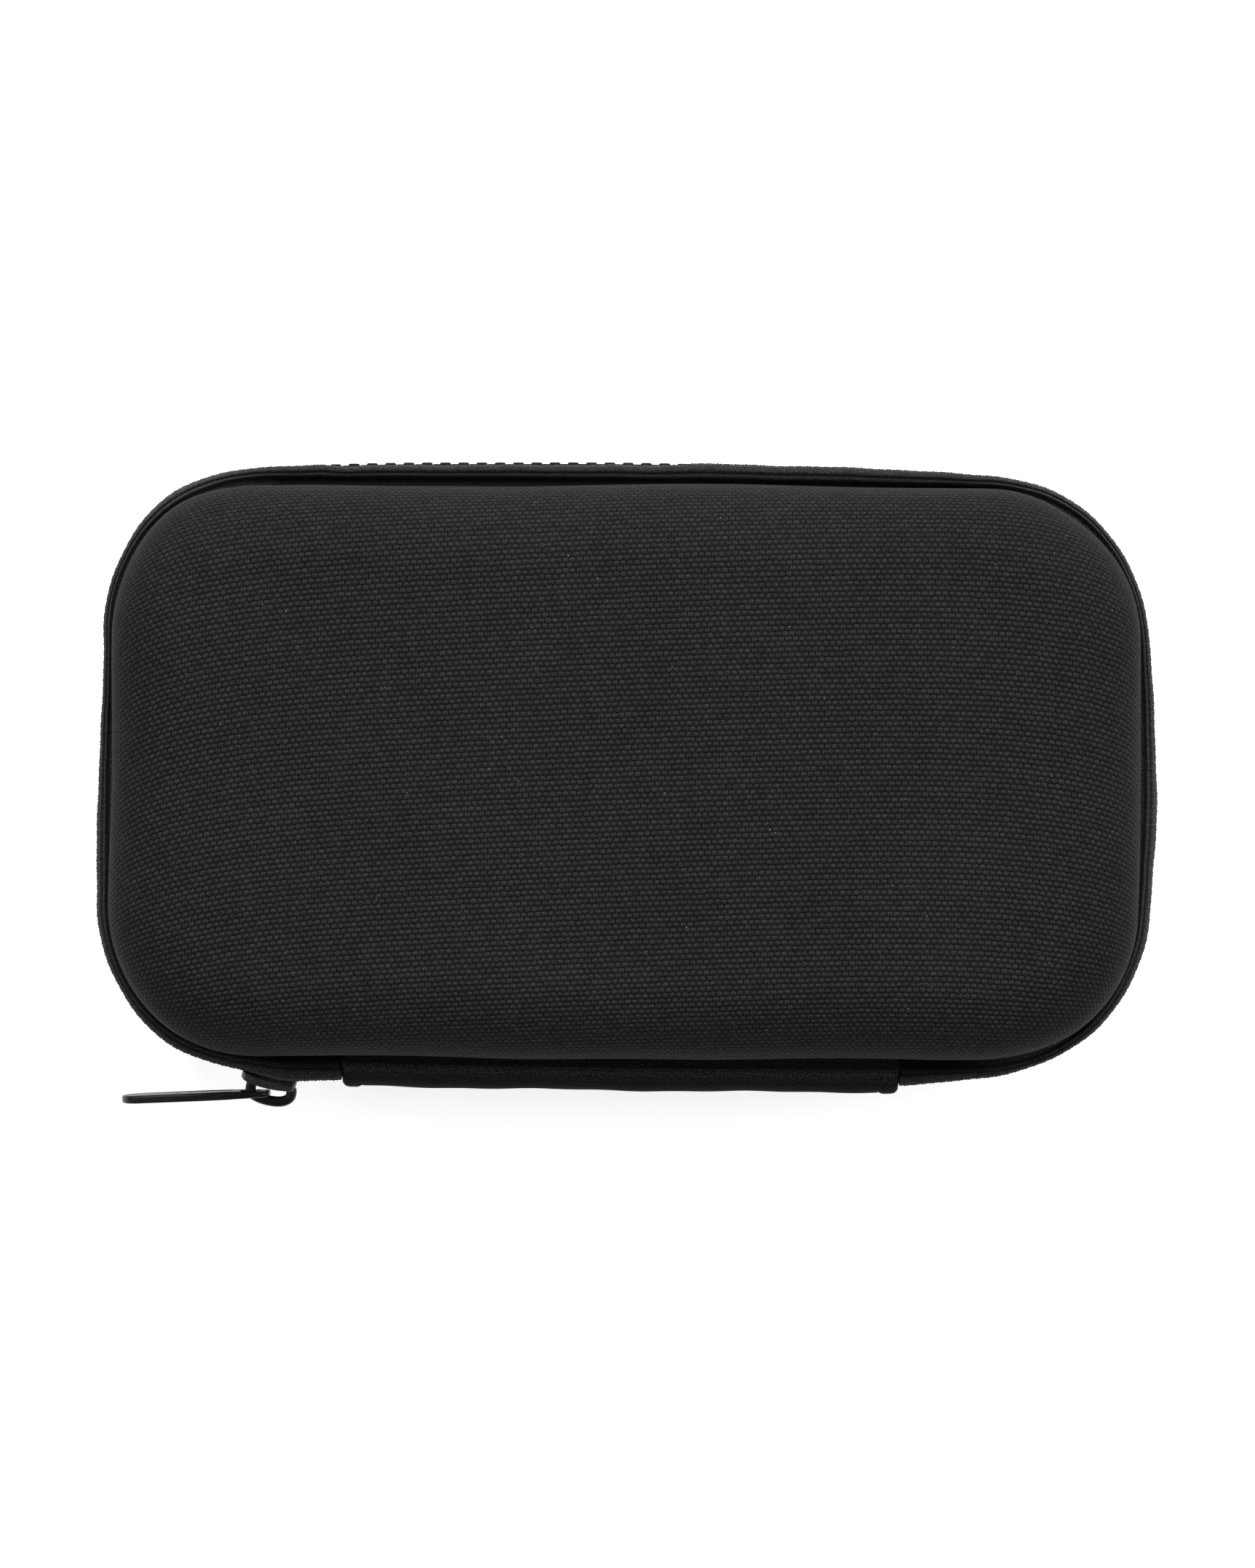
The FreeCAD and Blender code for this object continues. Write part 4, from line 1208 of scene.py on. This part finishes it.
def real_thickness(obj, thickness):
    with edited(obj) as mesh:
        face_outwards(mesh)
        middle = min(mesh.faces, key=lambda f: f.calc_center_median().y)
        if middle.normal.y > 0:
            bmesh.ops.reverse_faces(mesh, faces=mesh.faces)
    thicken(obj, thickness)
    solid = evaluated_mesh(obj)
    obj.modifiers.clear()
    obj.data = solid


for strip, thickness, material, slot, node in (
    (hinge_band, 0.5, ribbed, "hinge_fabric", "hinge_band"),
    (hinge_facing, 0.4, brushed, "lining", "hinge_facing"),
):
    real_thickness(strip, thickness)
    place_piece(strip, material, slot, None, node)
    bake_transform(strip, "base", "lid", start=HINGE_START, end=HINGE_END)


# ---- mesh pocket ----

POCKET_LOW, POCKET_HIGH = box_mm("mesh_pocket")
NET_HEIGHT = (POCKET_LOW[2] + POCKET_HIGH[2]) / 2
NET_EDGE = POCKET_HIGH[1]
NET_INSET = 5.0
CELL = 1.15
STRAND_WIDTH, STRAND_THICKNESS = 0.24, 0.28
NET_ROWS, NET_COLUMNS = 55, 48  # more than the pocket needs; only the cells inside it are made


def inside_pocket(x, y, margin):
    """True where a point lies inside the pocket's outline by a margin."""
    _, points, normals = all_round(1500)
    away = points - np.array([x, y])
    k = np.argmin((away**2).sum(1))
    return away[k] @ normals[k] > NET_INSET + margin and y < NET_EDGE + 1.0


def net_sag(x, y):
    """The net hangs slightly from its sewn edge and the hem."""
    return -0.9 * np.exp(-((x / 46) ** 4)) * np.exp(-(((y + 14) / 19) ** 4))


def net():
    """Knitted net with real six-sided holes."""
    half_width = CELL * math.sqrt(3) / 2
    hole = CELL - STRAND_WIDTH / math.cos(math.pi / 6)
    angles = [math.pi / 6 + k * math.pi / 3 for k in range(6)]
    directions = [(math.cos(a), math.sin(a)) for a in angles]
    top, bottom = STRAND_THICKNESS / 2, -STRAND_THICKNESS / 2
    corners, faces, uv, index = [], [], [], {}

    def corner(x, y, z):
        key = (round(x, 3), round(y, 3), z)
        if key not in index:
            index[key] = len(corners)
            corners.append((x, y, NET_HEIGHT + net_sag(x, y) + z))
        return index[key]

    for row in range(-NET_ROWS // 2, NET_ROWS // 2):
        for column in range(-NET_COLUMNS, NET_COLUMNS + 1):
            x0 = (column + 0.5 * (row % 2)) * 2 * half_width
            y0 = row * 1.5 * CELL
            if not inside_pocket(x0, y0, 0.6):
                continue
            outer, inner = [[(x0 + r * c, y0 + r * s) for c, s in directions] for r in (CELL, hole)]
            for k in range(6):
                following = (k + 1) % 6
                rim = [outer[k], outer[following], inner[following], inner[k]]
                wall = [inner[k], inner[following], inner[following], inner[k]]
                for places, heights in (
                    (rim, (top, top, top, top)),
                    (rim[::-1], (bottom, bottom, bottom, bottom)),
                    (wall, (top, top, bottom, bottom)),
                ):
                    faces.append([corner(*p, z) for p, z in zip(places, heights)])
                    uv += places
    return build("pocket_net", np.array(corners), faces, uv)


def pocket_path():
    """The pocket's sewn edge: the part of the outline on the hinge side of the hem."""
    distances, points, normals = all_round(1400)
    keep = points[:, 1] - normals[:, 1] * NET_INSET < NET_EDGE
    last_half = distances > shell.length / 2
    order = np.concatenate([np.where(keep & last_half)[0], np.where(keep & ~last_half)[0]])
    return distances[order], points[order], normals[order]


def pocket_rim():
    """Folded edge of the net, held in the lid's seam."""
    distances, points, normals = pocket_path()
    distances = np.where(distances > shell.length / 2, distances - shell.length, distances)
    section = at_each(rounded([(-4.75, 36.85), (-4.75, 37.75), (-6.9, 37.6), (-6.9, 37.0)], 0.25, 3), points)
    section[..., 1] += 0.08 * np.sin(TAU * distances / 2.3) + 0.05 * np.sin(TAU * distances / 6.1)
    return swept("pocket_edge_fold", section, points, normals, distances)


pocket_net = place_piece(net(), knit, "mesh", "lid", "mesh_pocket")
pocket_fold = pocket_rim()
pocket_fold.data.materials.append(grosgrain)
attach(pocket_fold, "lid")

HEM_LOW, HEM_HIGH = box_mm("pocket_elastic_hem")


def hem():
    """Gathered elastic along the pocket's mouth."""
    x = np.linspace(-HEM_HIGH[0], HEM_HIGH[0], 420)
    (low_y, low_z), (high_y, high_z) = HEM_LOW[1:], HEM_HIGH[1:]
    corners = [(low_y, low_z + 0.3), (low_y, high_z - 0.3), (high_y, high_z - 0.2), (high_y, low_z + 0.2)]
    section = rounded(corners, 0.55, 4)
    middle = (HEM_LOW[1:] + HEM_HIGH[1:]) / 2
    away = (section - middle)[:, None]
    gather = 1 + 0.07 * np.sin(TAU * x / 2.1) + 0.05 * np.sin(TAU * x / 5.3)
    rows = np.zeros((len(section), len(x), 3))
    rows[..., 0] = x
    rows[..., 1] = middle[0] + away[..., 0] * (0.97 + 0.03 * gather) + 0.12 * np.sin(TAU * x / 9.0)
    rows[..., 2] = middle[1] + away[..., 1] * gather
    uv = np.stack(np.meshgrid(x, closed_lengths(section)), axis=-1)
    return cap(skin("pocket_hem", rows, uv, around=False, tube=True), len(x), len(section))


pocket_hem = place_piece(hem(), elastic, "elastic", "lid", "pocket_elastic_hem")


# ---- slider and pull tab ----

SLIDER_PLACE = (-53.6, -45.841)
SLIDER_TURN = math.radians(166)
TAB_PLACE = (-54.651, -50.104)
TAB_TURN = math.radians(183)
# The arch over the slider's outer plate, as (along, out).
ARCH = [
    (2.35, 2.9), (2.35, 3.9), (2.1, 4.7), (0.9, 5.2), (-1.0, 5.3), (-2.8, 4.95), (-3.8, 4.2), (-3.95, 3.4),
    (-3.75, 2.7),
]


def cut_plate(outlines, thickness, bevel):
    """Flat plate from its outline and holes, centred on its own thickness, with round edges."""
    curve = bpy.data.curves.new("plate", "CURVE")
    curve.dimensions = "2D"
    curve.fill_mode = "BOTH"
    curve.extrude = thickness / 2 - bevel
    curve.bevel_depth = bevel
    curve.bevel_resolution = 3
    curve.offset = -bevel
    for outline in outlines:
        spline = curve.splines.new("POLY")
        spline.points.add(len(outline) - 1)
        for point, (x, y) in zip(spline.points, outline):
            point.co = (x, y, 0, 1)
        spline.use_cyclic_u = True
    obj = new_object("plate", curve)
    mesh = evaluated_mesh(obj)
    bpy.data.objects.remove(obj)
    points = np.array([v.co for v in mesh.vertices])
    faces = [tuple(f.vertices) for f in mesh.polygons]
    bpy.data.meshes.remove(mesh)
    return points, faces


def smooth_line(controls, steps):
    """Points on a smooth curve through its controls."""
    controls = np.asarray(controls, float)
    padded = np.vstack([2 * controls[0] - controls[1], controls, 2 * controls[-1] - controls[-2]])
    line = []
    for k in range(len(controls) - 1):
        a, b, c, d = padded[k : k + 4]
        square, cube = 2 * a - 5 * b + 4 * c - d, 3 * b - a - 3 * c + d
        for t in np.arange(steps) / steps:
            line.append(0.5 * (2 * b + (c - a) * t + square * t**2 + cube * t**3))
    return np.array(line + [controls[-1]])


def squared(wave, half):
    """Flattens a sine or cosine, so that a round bar's section becomes a rounded rectangle."""
    return np.sign(wave) * np.abs(wave) ** 0.6 * half


def bar(path, half_side, half_up, count=12):
    """Round-edged bar along a path in the (along, out) plane, as points and faces."""
    tangents = np.gradient(path, axis=0)
    tangents /= np.linalg.norm(tangents, axis=1)[:, None]
    across = np.column_stack([tangents[:, 1], -tangents[:, 0]])
    angles = np.arange(count) / count * TAU
    rings = np.zeros((len(path), count, 3))
    rings[..., :2] = path[:, None] + across[:, None] * squared(np.cos(angles), half_side)[None, :, None]
    rings[..., 2] = squared(np.sin(angles), half_up)[None]
    return rings.reshape(-1, 3), ring_faces(len(path), count)


def placed_parts(name, parts, place, turn, satin_and_painted_sheen=()):
    """Joins parts given in (along, out, up) and turns them into the case's frame."""
    local, faces = joined(parts)
    # The parts listed for it get the rougher satin finish and a painted sheen that makes them paler.
    paler = np.concatenate([np.full(len(points), float(k in satin_and_painted_sheen)) for k, (points, _) in enumerate(parts)])
    c, s = math.cos(turn), math.sin(turn)
    x = place[0] + c * local[:, 0] - s * local[:, 1]
    y = place[1] + s * local[:, 0] + c * local[:, 1]
    obj = build(name, np.column_stack([x, y, MID + local[:, 2]]), faces)
    obj.data.attributes.new("satin_and_painted_sheen", "FLOAT", "POINT").data.foreach_set("value", paler)
    finish_mesh(obj)
    obj.data.set_sharp_from_angle(angle=math.radians(38))
    return obj


def standing(plate, out=0.0, curve=0.0):
    """Stands a cut plate upright at a distance out, bowed along its length."""
    points, faces = plate
    bow = curve * (points[:, 0] / 4.2) ** 2
    return np.column_stack([points[:, 0], out + points[:, 2] - bow, points[:, 1]]), faces


def slider_outline():
    """Shield shape of a slider's plate: broad shoulders at the mouth, straight tail."""
    half = [(4.15, 1.1), (3.5, 3.3), (2.3, 3.95), (0.6, 3.8), (-1.2, 3.45), (-4.2, 3.35)]
    return rounded([(x, -y) for x, y in half[::-1]] + half, 0.8, 4)


def slider_parts():
    """Two plates, the side flanges that guide the teeth, the divider and the arch."""
    outline = slider_outline()
    parts = [
        standing(cut_plate([outline], 1.3, 0.3), 2.7, 0.5),
        standing(cut_plate([outline], 1.2, 0.3), -2.65, 0.5),
    ]
    for up in (-1, 1):
        for side in (-1, 1):
            path = np.array([(-3.9, side * 1.75), (-1.0, side * 1.75), (1.0, side * 1.8)])
            points, faces = bar(path, 0.42, 0.36)
            parts.append((points + np.array([0, 0, up * 3.15]), faces))
    divider = rounded([(1.6, -0.3), (3.9, -1.3), (3.9, 1.3), (1.6, 0.3)], 0.3, 3)
    parts.append(standing(cut_plate([divider], 4.2, 0.15)))
    parts.append(bar(smooth_line(ARCH, 6), 0.8, 1.15, 16))
    return parts


def tab_outline():
    """Long tab: round tip, slightly narrower at the crossbar."""
    side = [(8.5, 3.4), (6.0, 2.9), (-0.75, 2.75)]
    turns = np.linspace(-math.pi / 2, math.pi / 2, 15)
    round_tip = [(18.9 + 3.1 * math.cos(a), 3.4 * math.sin(a)) for a in turns]
    return [(x, -y) for x, y in side[::-1]] + round_tip + side


def tab_parts():
    """Tab plate with its window, thinner at the crossbar that sits in the slider's arch."""
    window = rounded([(0.75, -1.6), (3.8, -1.6), (3.8, 1.6), (0.75, 1.6)], 0.9, 5)[::-1]
    points, faces = cut_plate([rounded(tab_outline(), 1.2, 4), window], 1.25, 0.32)
    points[:, 2] *= 1 - 0.22 * np.clip((5.5 - points[:, 0]) / 2.5, 0, 1)
    return [standing((points, faces))]


slider_casting = placed_parts("slider_casting", slider_parts(), SLIDER_PLACE, SLIDER_TURN, satin_and_painted_sheen=(0, 1))
place_piece(slider_casting, enamel, "slider_metal", "slider", "slider_body")
tab_casting = placed_parts("tab_casting", tab_parts(), TAB_PLACE, TAB_TURN)
place_piece(tab_casting, enamel, "slider_metal", "pull_tab_body", "pull_tab")


# ---- CAD nodes that stay: better materials, and softened edges on the zip's stops ----


def refinish(node, material):
    """Replaces a CAD node's material."""
    mesh = frame["nodes"][node].data
    mesh.materials.clear()
    mesh.materials.append(material)
    return frame["nodes"][node]


def soften(obj, width):
    """Rounds a CAD node's sharp edges by a modifier; its own mesh stays as packed."""
    obj.modifiers.new("Weld", "WELD").merge_threshold = 1e-6
    flats = obj.modifiers.new("Flats", "DECIMATE")
    flats.decimate_type = "DISSOLVE"
    flats.angle_limit = math.radians(1.0)
    bevel = obj.modifiers.new("Edges", "BEVEL")
    bevel.width = width * MM
    bevel.segments = 3
    bevel.limit_method = "ANGLE"
    bevel.angle_limit = math.radians(35)
    bevel.harden_normals = False
    obj.data.polygons.foreach_set("use_smooth", [True] * len(obj.data.polygons))
    obj.modifiers.new("Normals", "WEIGHTED_NORMAL").keep_sharp = True


for node in ("zip_top_stops", "zip_bottom_stop"):
    soften(refinish(node, acetal), 0.18)


# ---- floor, light and camera, in metres ----

FLOOR_HALF, FLOOR_HEIGHT = 14.0, -0.0002
AIM = (0, 0, 0.03)


def floor():
    """Plain white sweep under the case."""
    mesh = bpy.data.meshes.new("floor")
    signs = ((-1, -1), (1, -1), (1, 1), (-1, 1))
    corners = [(x * FLOOR_HALF, y * FLOOR_HALF, FLOOR_HEIGHT) for x, y in signs]
    mesh.from_pydata(corners, [], [(0, 1, 2, 3)])
    obj = new_object("floor", mesh)
    n = Nodes("white_floor")
    look = {"Base Color": (0.95, 0.95, 0.95, 1), "Roughness": 0.9, "Specular IOR Level": 0.0}
    glow = {"Emission Color": (1, 1, 1, 1), "Emission Strength": 0.75}
    for key, value in {**look, **glow}.items():
        n.put(n.shader.inputs[key], value)
    mesh.materials.append(n.material)
    obj.visible_diffuse = False


def area_light(name, place, size, power):
    """A soft box at place, pointing at the case."""
    lamp = bpy.data.lights.new(name, "AREA")
    lamp.shape = "RECTANGLE"
    lamp.size, lamp.size_y = size
    lamp.energy = power
    obj = new_object(name, lamp)
    obj.location = place
    obj.rotation_euler = (Vector(AIM) - Vector(place)).to_track_quat("-Z", "Y").to_euler()


def world():
    """Even pale surroundings."""
    made = bpy.data.worlds.new("surroundings")
    made.use_nodes = True
    inputs = made.node_tree.nodes["Background"].inputs
    inputs[0].default_value = (1, 1, 1, 1)
    inputs[1].default_value = 0.18
    bpy.context.scene.world = made


def camera():
    """Straight above the case, turned and shifted slightly as the photograph is."""
    data = bpy.data.cameras.new("camera")
    data.lens = 100
    data.sensor_width = 36
    data.clip_start, data.clip_end = 0.05, 10
    obj = new_object("camera", data)
    obj.location = (0.00053, -0.00178, 0.6706 + MID * MM)
    obj.rotation_euler = (0, 0, math.radians(0.73))
    bpy.context.scene.camera = obj


floor()
world()
area_light("front_box", (0.0, 0.85, 1.05), (1.3, 0.5), 17.0)
area_light("right_box", (0.95, 0.2, 1.0), (0.5, 1.0), 4.5)
area_light("left_box", (-0.95, 0.2, 1.0), (0.5, 1.0), 2.6)
camera()
bpy.context.scene.view_settings.view_transform = "Standard"
